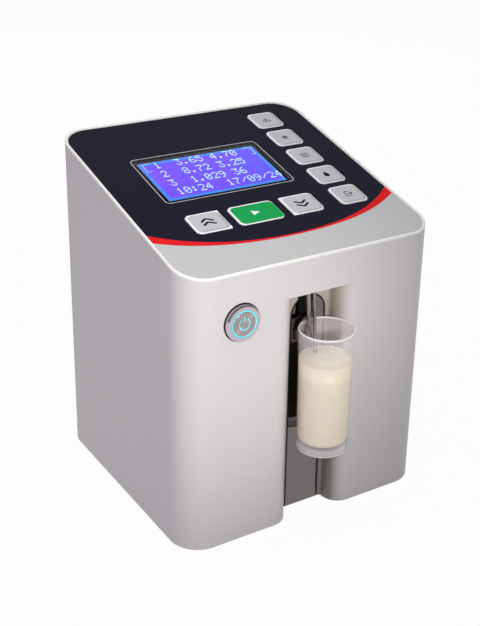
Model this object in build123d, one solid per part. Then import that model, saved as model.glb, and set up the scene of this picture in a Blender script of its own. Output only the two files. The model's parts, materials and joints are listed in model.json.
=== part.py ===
from build123d import *
import os
from math import atan2, cos, radians, sin, tan

# Bench milk analyzer: a tall plastic housing with a sloped keypad panel, a bay in its front
# for the sample cup, and the pump, measuring cell and boards inside.
# Millimetres, +X to the analyzer's right, +Y to its back, +Z up. The pieces are drawn with
# z = 0 at the housing's bottom edge and y = 0 at the housing's middle. They are moved last,
# so that the origin is the bottom centre of the whole analyzer on its feet.

# Housing
BODY_W = 150.0
BODY_D = 144.2
FRONT_H = 149.5
BACK_H = 185.5
CORNER_R = 16.0
WALL = 3.0
PLAY = 0.2
CUT = 1.0
JOIN = 0.6
BASE = (Align.CENTER, Align.CENTER, Align.MIN)
TOP = (Align.CENTER, Align.CENTER, Align.MAX)

# Rim and tray of the top cover, as depths below the rim
RIM_W = 1.7
RIM_H = 1.2
RIM_ROUND = 0.7
FIELD_DEPTH = 0.7
OVERLAY_T = 0.4
TRAY_T = 3.0
REBATE_W = 1.2
REBATE_DEPTH = 3.0

# Keys
KEY_W = 17.3
KEY_H = 16.5
KEY_R = 3.0
KEY_IN = 27.0
KEY_PITCH = 21.1
KEY_LOW_V = 43.8
KEY_RISE = 0.5
KEY_GAP = 0.25
KEY_TRAVEL = 0.5
KEY_EDGE_R = 0.35
KEY_LIFT_GAP = 0.05
FLANGE_RIM = 0.8
FLANGE_T = 0.7
STEM_R = 1.8
STEM_OUT = 0.3
ROW_V = 43.5
ARROW_W = 19.6
ARROW_X = (-38.4, 18.0)
ENTER_W = 26.7
ENTER_X = -10.2
SHARP_R = 0.4

# Display
DISPLAY_IN = 64.1
DISPLAY_V = 87.2
WINDOW_W = 77.3
WINDOW_H = 43.4
WINDOW_T = 1.5
WINDOW_R = 2.5
VIEW_W = 72.4
VIEW_H = 38.4
FRAME_W = 80.0
FRAME_H = 52.0
FRAME_T = 1.0
GLASS_GAP = 0.1
MODULE_W = 93.0
MODULE_H = 70.0
MODULE_HOLE_IN = 2.5

# Boards, switches and small screws
PCB_T = 1.6
SWITCH_W = 6.0
SWITCH_BODY_H = 3.5
SWITCH_H = 4.3
PLUNGER_R = 1.75
SWITCH_GAP = 0.6
POST_R = 3.0
SMALL_SCREW_R = 1.1
SMALL_HEAD_R = 2.1
SMALL_HEAD_H = 1.4
SMALL_SCREW_L = 5.5
THREAD_BITE = 0.03

# Larger screws
SCREW_R = 1.5
SCREW_HEAD_R = 2.9
SCREW_HEAD_H = 1.9
SCREW_L = 9.0
SCREW_PLAY = 0.2

# Bosses that hold the top cover down
COVER_BOSS_R = 4.0
COVER_BOSS_L = 6.0
COVER_LEDGE_T = 4.0
COVER_BOSS_V = (26.0, 122.0)
COVER_BOSS_IN = 5.2

# Sample bay
BAY_X = 2.0
BAY_HALF = 13.5
BAY_DEPTH = 11.5
BAY_TOP = 129.8
BAY_EDGE_R = 10.0
BAY_BACK_R = 1.5
PLATE_X = 2.6
PLATE_HALF = 9.8
PLATE_TOP = 123.0
PLATE_T = 1.0
PLATE_GAP = 1.0

# Steel tubes in the bay, leaning towards the cup
TUBE_LEAN = 5.5
TUBE_OUT = 6.3
SUCTION_X = 1.2
SUCTION_R = 0.9
SUCTION_BORE_R = 0.6
SUCTION_TIP_Z = 69.0
RETURN_X = -2.3
RETURN_R = 1.2
RETURN_BORE_R = 0.9
RETURN_BEND_Z = 110.0
RETURN_BEND_R = 7.0
RETURN_BEND_DEG = 32.0
RETURN_TIP_L = 3.5
TUBE_PLAY = 0.15

# Fluid head that the tubes end in
HEAD_HALF_W = 15.0
HEAD_BACK_IN = 2.6
HEAD_H = 10.5
HEAD_FRONT_GAP = 0.3
PORT_HALF = 11.0
PORT_RISE = 5.7
CHANNEL_R = 0.8
BARB_R = 1.55
BARB_L = 5.0

# Hook that steadies the cup
HOOK_W = 8.0
HOOK_T = 1.3
HOOK_GAP = 0.1
HOOK_STEM_Z = 114.0
HOOK_X = 0.0
HOOK_RING_R = 16.1
HOOK_BAR_R = 1.05
HOOK_BAR_Z = 113.5
HOOK_START_DEG = 7.0
HOOK_TIP_DEG = 47.0
HOOK_DROP = 4.1

# Sample cup and milk
CUP_OUT = 17.4
CUP_BASE_Z = 45.0
CUP_H = 66.8
CUP_RIM_R = 14.25
CUP_BASE_R = 13.25
CUP_WALL = 1.1
CUP_FLOOR_Z = 3.5
CUP_FLOOR_T = 1.2
MILK_TOP = 50.0
MILK_GAP = 0.05
MILK_SLOT_PLAY = 0.4

# Power button
BUTTON_IN = 30.7
BUTTON_Z = 123.8
BUTTON_HEAD_R = 9.6
BUTTON_HEAD_T = 2.2
BUTTON_CHAMFER = 0.9
BUTTON_BARREL_R = 7.9
BUTTON_BARREL_L = 15.0
BUTTON_HOLE_R = 8.1
BUTTON_RING_R = 7.2
BUTTON_RING_W = 0.8
BUTTON_RING_T = 1.2
BUTTON_CAP_R = 6.3
BUTTON_CAP_L = 7.0
BUTTON_CAP_OUT = 0.2
BUTTON_TRAVEL = 2.5
GASKET_T = 0.5
GASKET_R = 10.0
BUTTON_NUT_R = 10.5
BUTTON_NUT_T = 3.0
CONTACT_R = 6.5
CONTACT_L = 6.0
BUTTON_EDGE_R = 0.3
BUTTON_FLOOR_T = 2.0
TAG_PITCH = 3.5
TAG_T = 0.6
TAG_W = 2.4
TAG_L = 5.0

# Base plate and feet
BASE_T = 2.5
BASE_BOSS_R = 4.5
BASE_BOSS_IN = 24.1
BASE_BOSS_TOP = 20.0
FOOT_H = 3.0
FOOT_R = 7.0
FOOT_IN_X = 23.0
FOOT_IN_Y = 22.1
FOOT_NECK_R = 2.9
FOOT_HOLE_R = 3.0
FOOT_PLUG_R = 3.8
FOOT_PLUG_H = 2.5
FOOT_CHAMFER = 0.6

# Hoses
HOSE_R = 2.4
HOSE_BORE_R = 1.6
HOSE_END_GAP = 0.5
HOSE_BEND_R = 9.0
HOSE_LONG_BEND_R = 12.0
JOINER_FLANGE_R = 2.9
JOINER_FLANGE_T = 2.0
JOINER_L = 6.0
JOINER_BORE_R = 0.9

# Measuring cell
CELL_W = 40.0
CELL_D = 22.0
CELL_H = 22.0
CELL_IN = 24.6
CELL_Z = 92.0
CELL_BORE_R = 5.0
CELL_DRILL_R = 1.0
TRANSDUCER_R = 8.0
TRANSDUCER_T = 5.0
TRANSDUCER_PLUG_L = 3.0
TRANSDUCER_PLAY = 0.05
HEATER_T = 2.0
BRACKET_T = 1.5
CELL_BOSS_R = 4.0
CELL_BOSS_L = 4.0
CELL_BOSS_Z = 99.0
CELL_SCREW_IN = 6.0
CELL_SCREW_BITE = 4.0
HEATER_IN = 5.0
BARB_ROOT = 2.0
BRACKET_RISE = 8.0

# Pump
PUMP_X = 30.0
PUMP_IN = 59.6
PUMP_Z = 34.0
PUMP_PLATE_T = 2.0
PUMP_FLANGE_L = 16.0
PUMP_HEAD_W = 48.0
PUMP_HEAD_T = 15.0
PUMP_HEAD_UP = 22.0
PUMP_HEAD_DOWN = 21.0
PUMP_COVER_T = 2.0
PUMP_RING_R = 17.0
PUMP_TUBE_UP = 27.0
PUMP_SEAT_GAP = 0.05
PUMP_SQUEEZE_GAP = 0.3
ROLLER_R = 3.5
ROLLER_L = 8.0
ROLLER_COUNT = 3
PIN_R = 1.0
PIN_PLAY = 0.05
ROTOR_DISC_Z = 2.0
ROTOR_DISC_T = 3.0
ROTOR_DISC_RIM = 2.0
ROTOR_HUB_R = 3.4
ROLLER_END_GAP = 0.3
SHAFT_R = 2.0
SHAFT_PLAY = 0.05
SHAFT_L = 9.0
MOTOR_R = 14.0
MOTOR_L = 30.0
MOTOR_SCREW_X = 8.0
MOTOR_EDGE_R = 1.0
PUMP_SCREW_X = 20.7
PUMP_SCREW_Y = (-17.5, 18.5)

# Main board
BOARD_X = -27.0
BOARD_IN = 28.1
BOARD_W = 62.0
BOARD_D = 60.0
BOARD_HOLE_IN = 4.0
STANDOFF_H = 8.0
STANDOFF_R = 2.8
CHIPS = ((-20, -16, 14, 14, 1.6), (4, -18, 10, 8, 1.6), (22, -14, 15, 10, 12), (-4, 2, 10, 10, 2.0))
CAN_R = 3.5
CAN_H = 9.0
CAN_EDGE_R = 0.8
CAN_X = 24.0
CAN_PITCH = 8.0
CAN_COUNT = 3
TERMINAL_W = 22.0
TERMINAL_D = 8.0
TERMINAL_H = 9.0
TERMINAL_X = -12.0
TERMINAL_IN = 7.0
TERMINAL_PITCH = 7.0
TERMINAL_HOLE_R = 1.6
TERMINAL_HOLE_L = 5.0

# Rear panel and its connectors
REAR_IN = 16.0
REAR_H = 36.0
REAR_Z = 28.0
REAR_T = 1.5
REAR_LIP = 10.0
REAR_SCREW_IN = 5.0
REAR_SEAT = 1.5
DC_X = -42.0
USB_X = -18.0
SERIAL_X = 12.0
PH_X = 44.0
DC_BARREL_R = 4.0
DC_FLANGE_R = 5.6
DC_FLANGE_T = 1.6
DC_BORE_R = 2.9
DC_BORE_L = 9.5
DC_PIN_R = 1.0
DC_L = 13.0
USB_W = 12.0
USB_H = 11.0
USB_L = 16.0
USB_OPEN_W = 8.6
USB_OPEN_H = 8.0
USB_OPEN_L = 9.0
USB_OUT = 0.5
USB_TONGUE_W = 5.6
USB_TONGUE_H = 3.2
SERIAL_W = 30.8
SERIAL_H = 12.5
SERIAL_BODY_L = 10.0
SERIAL_SHELL_W = 16.9
SERIAL_SHELL_H = 8.3
SERIAL_SHELL_OUT = 5.9
SERIAL_SHELL_T = 0.5
SERIAL_SHELL_R = 1.6
SERIAL_SHELL_LEAN = 10.0
SERIAL_PIN_COUNTS = (5, 4)
SERIAL_PIN_IN = 0.8
SERIAL_PIN_R = 0.5
SERIAL_PIN_PITCH = 2.77
SERIAL_ROW_PITCH = 2.84
JACKSCREW_SPACING = 24.99
JACKSCREW_R = 2.7
JACKSCREW_L = 5.0
JACKSCREW_HOLE_R = 1.25
JACKSCREW_STUD_R = 1.4
JACKSCREW_BITE = 3.5
PH_HEX_R = 7.0
PH_HEX_T = 2.0
PH_BARREL_R = 4.8
PH_BARREL_L = 9.0
PH_WALL = 0.75
PH_BORE_L = 7.0
PH_CORE_R = 2.4
PH_CORE_L = 5.0
PH_CORE_HOLE_R = 0.7
PH_LUG_R = 0.9
PH_LUG_OUT = 0.9
PH_LUG_AT = 5.0
PH_REAR_L = 9.0
PANEL_NUT_T = 2.5
PORT_PLAY = 0.15

# Ribbon cable from the main board to the display
RIBBON_W = 25.0
RIBBON_T = 0.9
RIBBON_X = -30.0
RIBBON_BEND_R = 20.0
RIBBON_RISE = 50.0
RIBBON_DROP = 40.0
HEADER_W = 28.0
HEADER_D = 6.0
HEADER_H = 6.0

# Sizes that follow from the ones above
SLOPE = atan2(BACK_H - FRONT_H, BODY_D)
PANEL_L = BODY_D / cos(SLOPE)
PANEL = Plane(origin=(0, -BODY_D / 2, FRONT_H), x_dir=(1, 0, 0), z_dir=(0, -sin(SLOPE), cos(SLOPE)))
TRAY_TOP = FIELD_DEPTH + OVERLAY_T
TRAY_BOTTOM = TRAY_TOP + TRAY_T
WELL_GAP = 0.15
WELL_DEPTH = FLANGE_T + KEY_TRAVEL + WELL_GAP
STEM_END = TRAY_BOTTOM + STEM_OUT
PCB_TOP = STEM_END + SWITCH_GAP + SWITCH_H
PCB_BOTTOM = PCB_TOP + PCB_T
SIDE_KEYS = ("exit", "ph", "menu", "clean", "save")
BAY_BACK_Y = -BODY_D / 2 + BAY_DEPTH
TUBE_Y = BAY_BACK_Y - TUBE_OUT
HEAD_BACK_Y = BAY_BACK_Y + HEAD_BACK_IN
CUP_Y = BAY_BACK_Y - CUP_OUT
CELL_Y = BAY_BACK_Y + CELL_IN
PUMP_Y = BAY_BACK_Y + PUMP_IN
BOARD_Y = BODY_D / 2 - BOARD_IN - BOARD_D / 2
BASE_BOSS_Y = BODY_D / 2 - BASE_BOSS_IN
FOOT_X = BODY_W / 2 - FOOT_IN_X
FOOT_Y = BODY_D / 2 - FOOT_IN_Y
KEY_X = BODY_W / 2 - KEY_IN
DISPLAY_X = -BODY_W / 2 + DISPLAY_IN
BUTTON_X = -BODY_W / 2 + BUTTON_IN
REAR_W = BODY_W - 2 * REAR_IN
HEAD_Z = BAY_TOP + WALL
PORT_Z = HEAD_Z + PORT_RISE
TOP_MARGIN = 20.0
PUMP = Plane(origin=(PUMP_X, PUMP_Y, PUMP_Z), x_dir=(1, 0, 0), z_dir=(0, -1, 0))
TUBE_LINE_R = PUMP_RING_R - PUMP_SEAT_GAP - HOSE_R
ORBIT_R = TUBE_LINE_R - HOSE_R - PUMP_SQUEEZE_GAP - ROLLER_R
ROLLER_Z = ROTOR_DISC_Z + ROTOR_DISC_T + ROLLER_END_GAP
TUBE_LINE_Z = ROLLER_Z + ROLLER_L / 2


def footprint(inset=0.0):
    """Plan of the housing, drawn in by an inset."""
    return RectangleRounded(BODY_W - 2 * inset, BODY_D - 2 * inset, CORNER_R - inset)


def layer(inset, top, bottom):
    """Slice of the housing's column between two depths below the rim."""
    column = extrude(footprint(inset), BACK_H + TOP_MARGIN)
    slab = Box(2 * BODY_W, 3 * PANEL_L, bottom - top, align=BASE)
    return column & (PANEL.location * Pos(0, PANEL_L / 2, -bottom) * slab)


def under(shape, depth):
    """What lies of a shape below a depth under the rim."""
    block = Box(2 * BODY_W, 3 * PANEL_L, 3 * BACK_H, align=TOP)
    return shape & (PANEL.location * Pos(0, PANEL_L / 2, -depth) * block)


def panel_block(sketch, x, v, top, bottom):
    """A plan drawn on the panel, as a solid between two depths."""
    return PANEL.location * Pos(x, v, -bottom) * extrude(sketch, bottom - top)


def panel_rod(radius, x, v, top, bottom):
    """A round rod square to the panel, between two depths."""
    return panel_block(Circle(radius), x, v, top, bottom)


def rod(radius, start, end):
    """A round rod from one point to another."""
    axis = Vector(*end) - Vector(*start)
    return extrude(Plane(origin=start, z_dir=axis) * Circle(radius), axis.length)


def pan_screw(start, direction, length, radius, head_r, head_h):
    """A pan head screw whose head's underside is at start and whose shank runs along direction."""
    head = Pos(0, 0, -head_h) * Cylinder(head_r, head_h, align=BASE)
    head = fillet(head.edges().group_by(Axis.Z)[0], head_h / 4)
    head -= Pos(0, 0, -head_h) * Box(2 * head_r, head_r / 3, head_h / 2, align=BASE)
    shank = Cylinder(radius, length, align=BASE)
    return Plane(origin=start, z_dir=direction).location * (head + shank)


def key_list():
    """Each key's name, x, v, width and the sides that are rounded."""
    side = [(name, KEY_X, KEY_LOW_V + i * KEY_PITCH, KEY_W, "both") for i, name in enumerate(SIDE_KEYS)]
    row = [
        ("up", ARROW_X[0], ROW_V, ARROW_W, "left"),
        ("enter", ENTER_X, ROW_V, ENTER_W, "both"),
        ("down", ARROW_X[1], ROW_V, ARROW_W, "right"),
    ]
    return side + row


def key_plan(width, rounded, grow=0.0):
    """Outline of a key's cap, with the corners on one side left sharp on the arrow keys."""
    plan = Rectangle(width + 2 * grow, KEY_H + 2 * grow)
    sides = {"left": lambda p: p.X < 0, "right": lambda p: p.X > 0, "both": lambda p: True}
    soft = [p for p in plan.vertices() if sides[rounded](p)]
    plan = fillet(soft, KEY_R + grow)
    sharp = [p for p in plan.vertices() if abs(abs(p.X) - width / 2 - grow) < 1e-6 and not sides[rounded](p)]
    return fillet(sharp, SHARP_R + grow) if sharp else plan


def cover_boss_places():
    """Panel places of the four bosses that hold the top cover."""
    x = BODY_W / 2 - WALL - COVER_BOSS_IN
    return [(side * x, v) for side in (-1, 1) for v in COVER_BOSS_V]


def display_hole_places():
    """Panel places of the display board's four holes."""
    dx = MODULE_W / 2 - MODULE_HOLE_IN
    dv = MODULE_H / 2 - MODULE_HOLE_IN
    return [(DISPLAY_X + i * dx, DISPLAY_V + j * dv) for i in (-1, 1) for j in (-1, 1)]


def key_board_hole_places():
    """Panel places of the key board's holes, midway between keys."""
    mid_v = [KEY_LOW_V + (i + 0.5) * KEY_PITCH for i in (0, 3)]
    left = (ARROW_X[0] + ARROW_W / 2 + ENTER_X - ENTER_W / 2) / 2
    right = (ARROW_X[1] - ARROW_W / 2 + ENTER_X + ENTER_W / 2) / 2
    return [(KEY_X, v) for v in mid_v] + [(left, ROW_V), (right, ROW_V)]


def channel_plan(grow=0.0):
    """Plan of the sample bay, with its mouth flared by the rounded front edges."""
    rect = Pos(BAY_X, -BODY_D / 2 + BAY_DEPTH / 2) * Rectangle(2 * BAY_HALF, BAY_DEPTH)
    walls = footprint() - rect
    side = [p for p in walls.vertices() if abs(abs(p.X - BAY_X) - BAY_HALF) < 1e-6]
    walls = fillet([p for p in side if p.Y < BAY_BACK_Y - 1e-6], BAY_EDGE_R)
    side = [p for p in walls.vertices() if abs(abs(p.X - BAY_X) - BAY_HALF) < 1e-6]
    walls = fillet([p for p in side if abs(p.Y - BAY_BACK_Y) < 1e-6], BAY_BACK_R)
    plan = footprint() - walls
    return offset(plan, grow) if grow else plan


def arch_plan(half, top):
    """Outline of the bay's arched plate, standing in the XZ plane."""
    straight = Pos(0, (top - half) / 2) * Rectangle(2 * half, top - half)
    return straight + Pos(0, top - half) * Circle(half)


def arch_block(half, top, depth):
    """The arched outline as a solid that starts at the bay's back wall and runs backwards."""
    wall = Plane(origin=(PLATE_X, BAY_BACK_Y, 0), x_dir=(1, 0, 0), z_dir=(0, -1, 0))
    return extrude(wall * arch_plan(half, top), -depth)


def tube_axis_point(x, z):
    """Point on the axis of a leaning tube at a height."""
    return (x, TUBE_Y + (z - BAY_TOP) * tan(radians(TUBE_LEAN)), z)


def rear_plane(x):
    """Frame of a rear connector: z outwards from the panel's outer face, y up."""
    return Plane(origin=(x, BODY_D / 2, REAR_Z), x_dir=(-1, 0, 0), z_dir=(0, 1, 0))


def rear_screw_places():
    """Places of the rear panel's four screws in the frame of its middle."""
    dx = REAR_W / 2 - REAR_SCREW_IN
    dz = REAR_H / 2 - REAR_SCREW_IN
    return [(i * dx, j * dz) for i in (-1, 1) for j in (-1, 1)]


def base_boss_places():
    """Places of the housing's four bosses for the base plate's screws."""
    x = BODY_W / 2 - WALL - BASE_BOSS_R + JOIN
    return [(i * x, j * BASE_BOSS_Y) for i in (-1, 1) for j in (-1, 1)]


def cell_boss_places():
    """Places, across and up, of the two bosses that carry the cell's bracket."""
    x = BAY_HALF + WALL - CELL_BOSS_R - BAY_BACK_R
    return [(BAY_X + i * x, CELL_BOSS_Z) for i in (-1, 1)]


def hook_slot(play):
    """The hook's stem, from the bay's ceiling up to the fluid head, with play all round."""
    y = BAY_BACK_Y - HOOK_GAP - HOOK_T / 2
    block = Box(HOOK_W + 2 * play, HOOK_T + 2 * play, WALL, align=BASE)
    return Pos(HOOK_X, y, BAY_TOP) * block


def housing():
    """The wrap-round shell with the bay, its bosses and ledges."""
    inner = Pos(0, 0, -CUT) * extrude(footprint(WALL), BACK_H + TOP_MARGIN)
    jacket = extrude(channel_plan(WALL), BAY_TOP + WALL)
    shell = under(extrude(footprint(), BACK_H + TOP_MARGIN), RIM_H) - (inner - jacket)
    shell -= extrude(channel_plan(), BAY_TOP)
    shell -= layer(REBATE_W, RIM_H, REBATE_DEPTH)
    shell -= arch_block(PLATE_HALF + PLATE_GAP, PLATE_TOP + PLATE_GAP, PLATE_T)
    for x, y in base_boss_places():
        boss = Cylinder(BASE_BOSS_R, BASE_BOSS_TOP - BASE_T, align=BASE)
        pilot = Cylinder(SCREW_R + THREAD_BITE, SCREW_L + CUT, align=BASE)
        shell += Pos(x, y, BASE_T) * (boss - pilot)
    for x, v in cover_boss_places():
        top = TRAY_BOTTOM + COVER_BOSS_L
        ledge_w = COVER_BOSS_R + COVER_BOSS_IN + JOIN
        shift = (BODY_W / 2 - WALL + JOIN - ledge_w / 2) * (1 if x > 0 else -1)
        ledge = panel_block(Rectangle(ledge_w, 2 * COVER_BOSS_R), shift, v, top, top + COVER_LEDGE_T)
        shell += ledge - panel_rod(SCREW_R + SCREW_PLAY, x, v, top - CUT, top + COVER_LEDGE_T + CUT)
    for x, z in cell_boss_places():
        start = (x, BAY_BACK_Y + WALL - JOIN, z)
        end = (x, BAY_BACK_Y + WALL + CELL_BOSS_L, z)
        shell += rod(CELL_BOSS_R, start, end) - rod(SCREW_R + THREAD_BITE, start, end)
    shell -= rod(BUTTON_HOLE_R, (BUTTON_X, -BODY_D, BUTTON_Z), (BUTTON_X, -BODY_D / 2 + 2 * WALL, BUTTON_Z))
    for x, radius in ((SUCTION_X, SUCTION_R), (RETURN_X, RETURN_R)):
        low, high = tube_axis_point(x, BAY_TOP - WALL), tube_axis_point(x, BAY_TOP + 2 * WALL)
        shell -= rod(radius + TUBE_PLAY, low, high)
    shell -= hook_slot(PLAY / 2)
    return rear_opening(shell)


def rear_opening(shell):
    """Cut the rear panel's seat and window, and add the bosses for its screws."""
    frame = rear_plane(0)
    bosses = [frame.location * Pos(x, y, -WALL) for x, y in rear_screw_places()]
    for place in bosses:
        shell += place * Pos(0, 0, JOIN) * Cylinder(
            REAR_SCREW_IN - PLAY, SCREW_L, align=TOP)
    seat = RectangleRounded(REAR_W + 2 * PLAY, REAR_H + 2 * PLAY, REAR_SCREW_IN / 2)
    shell -= frame.location * Pos(0, 0, -REAR_T) * extrude(seat, REAR_T)
    window = Rectangle(REAR_W - 2 * REAR_LIP, REAR_H - 2 * REAR_SEAT)
    window += Rectangle(REAR_W - 2 * REAR_SEAT, REAR_H - 2 * REAR_LIP)
    shell -= frame.location * Pos(0, 0, -SCREW_L - WALL) * extrude(window, SCREW_L + WALL)
    for place in bosses:
        shell -= place * Pos(0, 0, WALL) * Cylinder(
            SCREW_R + THREAD_BITE, SCREW_L, align=TOP)
    return shell


def top_cover():
    """The pale rim and the tray under the keypad, with its wells, window seat and posts."""
    cover = layer(0, 0, RIM_H) + layer(REBATE_W + PLAY / 2, RIM_H, REBATE_DEPTH)
    cover += layer(WALL + PLAY, REBATE_DEPTH, TRAY_BOTTOM)
    cover -= layer(RIM_W, -CUT, TRAY_TOP)
    cover = fillet(cover.edges().filter_by(lambda edge: panel_depth(edge) < 1e-6), RIM_ROUND)
    for name, x, v, width, rounded in key_list():
        well = key_plan(width, rounded, FLANGE_RIM + KEY_GAP)
        cover -= panel_block(well, x, v, TRAY_TOP, TRAY_TOP + WELL_DEPTH)
        cover -= panel_rod(STEM_R + KEY_GAP, x, v, TRAY_TOP, TRAY_BOTTOM + CUT)
    seat = RectangleRounded(WINDOW_W + PLAY, WINDOW_H + PLAY, WINDOW_R)
    cover -= panel_block(seat, DISPLAY_X, DISPLAY_V, TRAY_TOP, FIELD_DEPTH + WINDOW_T)
    cover -= panel_block(Rectangle(VIEW_W, VIEW_H), DISPLAY_X, DISPLAY_V, TRAY_TOP, TRAY_BOTTOM + CUT)
    for x, v in display_hole_places() + key_board_hole_places():
        end = PCB_BOTTOM - SMALL_SCREW_L - PLAY
        cover += panel_rod(POST_R, x, v, TRAY_BOTTOM, PCB_TOP)
        cover -= panel_rod(SMALL_SCREW_R + THREAD_BITE, x, v, end, PCB_TOP)
    for x, v in cover_boss_places():
        end = TRAY_BOTTOM + COVER_BOSS_L
        cover += panel_rod(COVER_BOSS_R - PLAY, x, v, TRAY_BOTTOM, end)
        cover -= panel_rod(SCREW_R + THREAD_BITE, x, v, end - SCREW_L + COVER_LEDGE_T - PLAY, end)
    return cover


def panel_depth(edge):
    """How far an edge's middle lies below the rim's top plane."""
    return abs(PANEL.to_local_coords(edge.center()).Z)


def keypad_overlay():
    """The printed sheet with its cut-outs for keys and window."""
    sheet = layer(RIM_W + PLAY, FIELD_DEPTH, TRAY_TOP)
    for name, x, v, width, rounded in key_list():
        sheet -= panel_block(key_plan(width, rounded, KEY_GAP), x, v, 0, TRAY_BOTTOM)
    hole = RectangleRounded(WINDOW_W + PLAY, WINDOW_H + PLAY, WINDOW_R)
    return sheet - panel_block(hole, DISPLAY_X, DISPLAY_V, 0, TRAY_BOTTOM)


def key(x, v, width, rounded):
    """One key: raised cap, flange caught under the overlay, and stem down to its switch."""
    cap_top = FIELD_DEPTH - KEY_RISE
    flange_top = TRAY_TOP + KEY_LIFT_GAP
    cap = extrude(key_plan(width, rounded), flange_top - cap_top)
    top_edges = cap.edges().group_by(Axis.Z)[-1]
    cap = PANEL.location * Pos(x, v, -flange_top) * fillet(top_edges, KEY_EDGE_R)
    flange = panel_block(key_plan(width, rounded, FLANGE_RIM), x, v, flange_top, flange_top + FLANGE_T)
    return cap + flange + panel_rod(STEM_R, x, v, flange_top + FLANGE_T, STEM_END)


def display_window():
    """The clear window over the display, lying on the tray's ledge."""
    plan = RectangleRounded(WINDOW_W, WINDOW_H, WINDOW_R)
    return panel_block(plan, DISPLAY_X, DISPLAY_V, FIELD_DEPTH, FIELD_DEPTH + WINDOW_T)


def display_frame():
    """The display's folded metal frame, round its glass."""
    top = TRAY_BOTTOM + PLAY
    frame = panel_block(Rectangle(FRAME_W, FRAME_H), DISPLAY_X, DISPLAY_V, top, PCB_TOP)
    inside = Rectangle(FRAME_W - 2 * FRAME_T, FRAME_H - 2 * FRAME_T)
    frame -= panel_block(inside, DISPLAY_X, DISPLAY_V, top + FRAME_T, PCB_TOP)
    return frame - panel_block(Rectangle(VIEW_W, VIEW_H), DISPLAY_X, DISPLAY_V, top, PCB_TOP)


def display_glass():
    """The display's glass block on its board, raised through the frame to just under the window."""
    plan = Rectangle(FRAME_W - 2 * FRAME_T - PLAY, FRAME_H - 2 * FRAME_T - PLAY)
    seat = TRAY_BOTTOM + PLAY + FRAME_T
    block = panel_block(plan, DISPLAY_X, DISPLAY_V, seat, PCB_TOP)
    face = Rectangle(VIEW_W - 2 * PLAY, VIEW_H - 2 * PLAY)
    return block + panel_block(face, DISPLAY_X, DISPLAY_V, FIELD_DEPTH + WINDOW_T + GLASS_GAP, seat)


def display_board():
    """The display's circuit board with its header."""
    board = panel_block(Rectangle(MODULE_W, MODULE_H), DISPLAY_X, DISPLAY_V, PCB_TOP, PCB_BOTTOM)
    for x, v in display_hole_places():
        board -= panel_rod(SMALL_SCREW_R + PLAY, x, v, PCB_TOP - CUT, PCB_BOTTOM + CUT)
    return board + ribbon_header_top()


def display_header_v():
    """How far up the panel the display's header sits."""
    return DISPLAY_V + MODULE_H / 2 - 3 * MODULE_HOLE_IN - HEADER_D


def ribbon_header_top():
    """Header under the display board."""
    plan = Rectangle(HEADER_W, HEADER_D)
    return panel_block(plan, RIBBON_X, display_header_v(), PCB_BOTTOM, PCB_BOTTOM + HEADER_H)


def key_board():
    """The L-shaped board under the keys."""
    left = ARROW_X[0] - ARROW_W / 2
    right = KEY_X + SWITCH_W
    low = ROW_V - KEY_H / 2
    high = KEY_LOW_V + 4 * KEY_PITCH + KEY_H / 2
    inner_x = DISPLAY_X + MODULE_W / 2 + 2
    inner_v = DISPLAY_V - MODULE_H / 2 - 1
    row = Pos((left + right) / 2, (low + inner_v) / 2) * Rectangle(right - left, inner_v - low)
    side = Pos((inner_x + right) / 2, (low + high) / 2) * Rectangle(right - inner_x, high - low)
    board = panel_block(row + side, 0, 0, PCB_TOP, PCB_BOTTOM)
    for x, v in key_board_hole_places():
        board -= panel_rod(SMALL_SCREW_R + PLAY, x, v, PCB_TOP - CUT, PCB_BOTTOM + CUT)
    return board


def key_switches():
    """One push switch under each key's stem."""
    made = []
    for name, x, v, width, rounded in key_list():
        body = panel_block(Rectangle(SWITCH_W, SWITCH_W), x, v, PCB_TOP - SWITCH_BODY_H, PCB_TOP)
        made.append(body + panel_rod(PLUNGER_R, x, v, PCB_TOP - SWITCH_H, PCB_TOP - SWITCH_BODY_H))
    return made


def panel_screws():
    """Small screws that hold the display board and the key board to the tray's posts."""
    made = []
    for x, v in display_hole_places() + key_board_hole_places():
        start = (PANEL.location * Pos(x, v, -PCB_BOTTOM)).position
        made.append(pan_screw(start, PANEL.z_dir, SMALL_SCREW_L, SMALL_SCREW_R, SMALL_HEAD_R, SMALL_HEAD_H))
    return made


def cover_screws():
    """Screws up through the housing's ledges into the top cover's bosses."""
    made = []
    for x, v in cover_boss_places():
        start = (PANEL.location * Pos(x, v, -TRAY_BOTTOM - COVER_BOSS_L - COVER_LEDGE_T)).position
        made.append(pan_screw(start, PANEL.z_dir, SCREW_L, SCREW_R, SCREW_HEAD_R, SCREW_HEAD_H))
    return made


def suction_tube():
    """Long straight tube that draws the milk."""
    top = tube_axis_point(SUCTION_X, PORT_Z + SUCTION_R)
    tip = tube_axis_point(SUCTION_X, SUCTION_TIP_Z)
    return rod(SUCTION_R, tip, top) - rod(SUCTION_BORE_R, tip, top)


def return_tube():
    """Short tube, bent towards the cup's wall, that sends the milk back."""
    top = Vector(*tube_axis_point(RETURN_X, PORT_Z + RETURN_R))
    knee = Vector(*tube_axis_point(RETURN_X, RETURN_BEND_Z))
    down = (knee - top).normalized()
    turn = radians(RETURN_BEND_DEG)
    aside = down * cos(turn) + Vector(-sin(turn), 0, 0)
    tip = knee + aside * (RETURN_TIP_L + RETURN_BEND_R * tan(turn / 2))
    path = FilletPolyline(top, knee, tip, radius=RETURN_BEND_R)
    ring = Circle(RETURN_R) - Circle(RETURN_BORE_R)
    return sweep(Plane(origin=top, z_dir=down) * ring, path=path)


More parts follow.
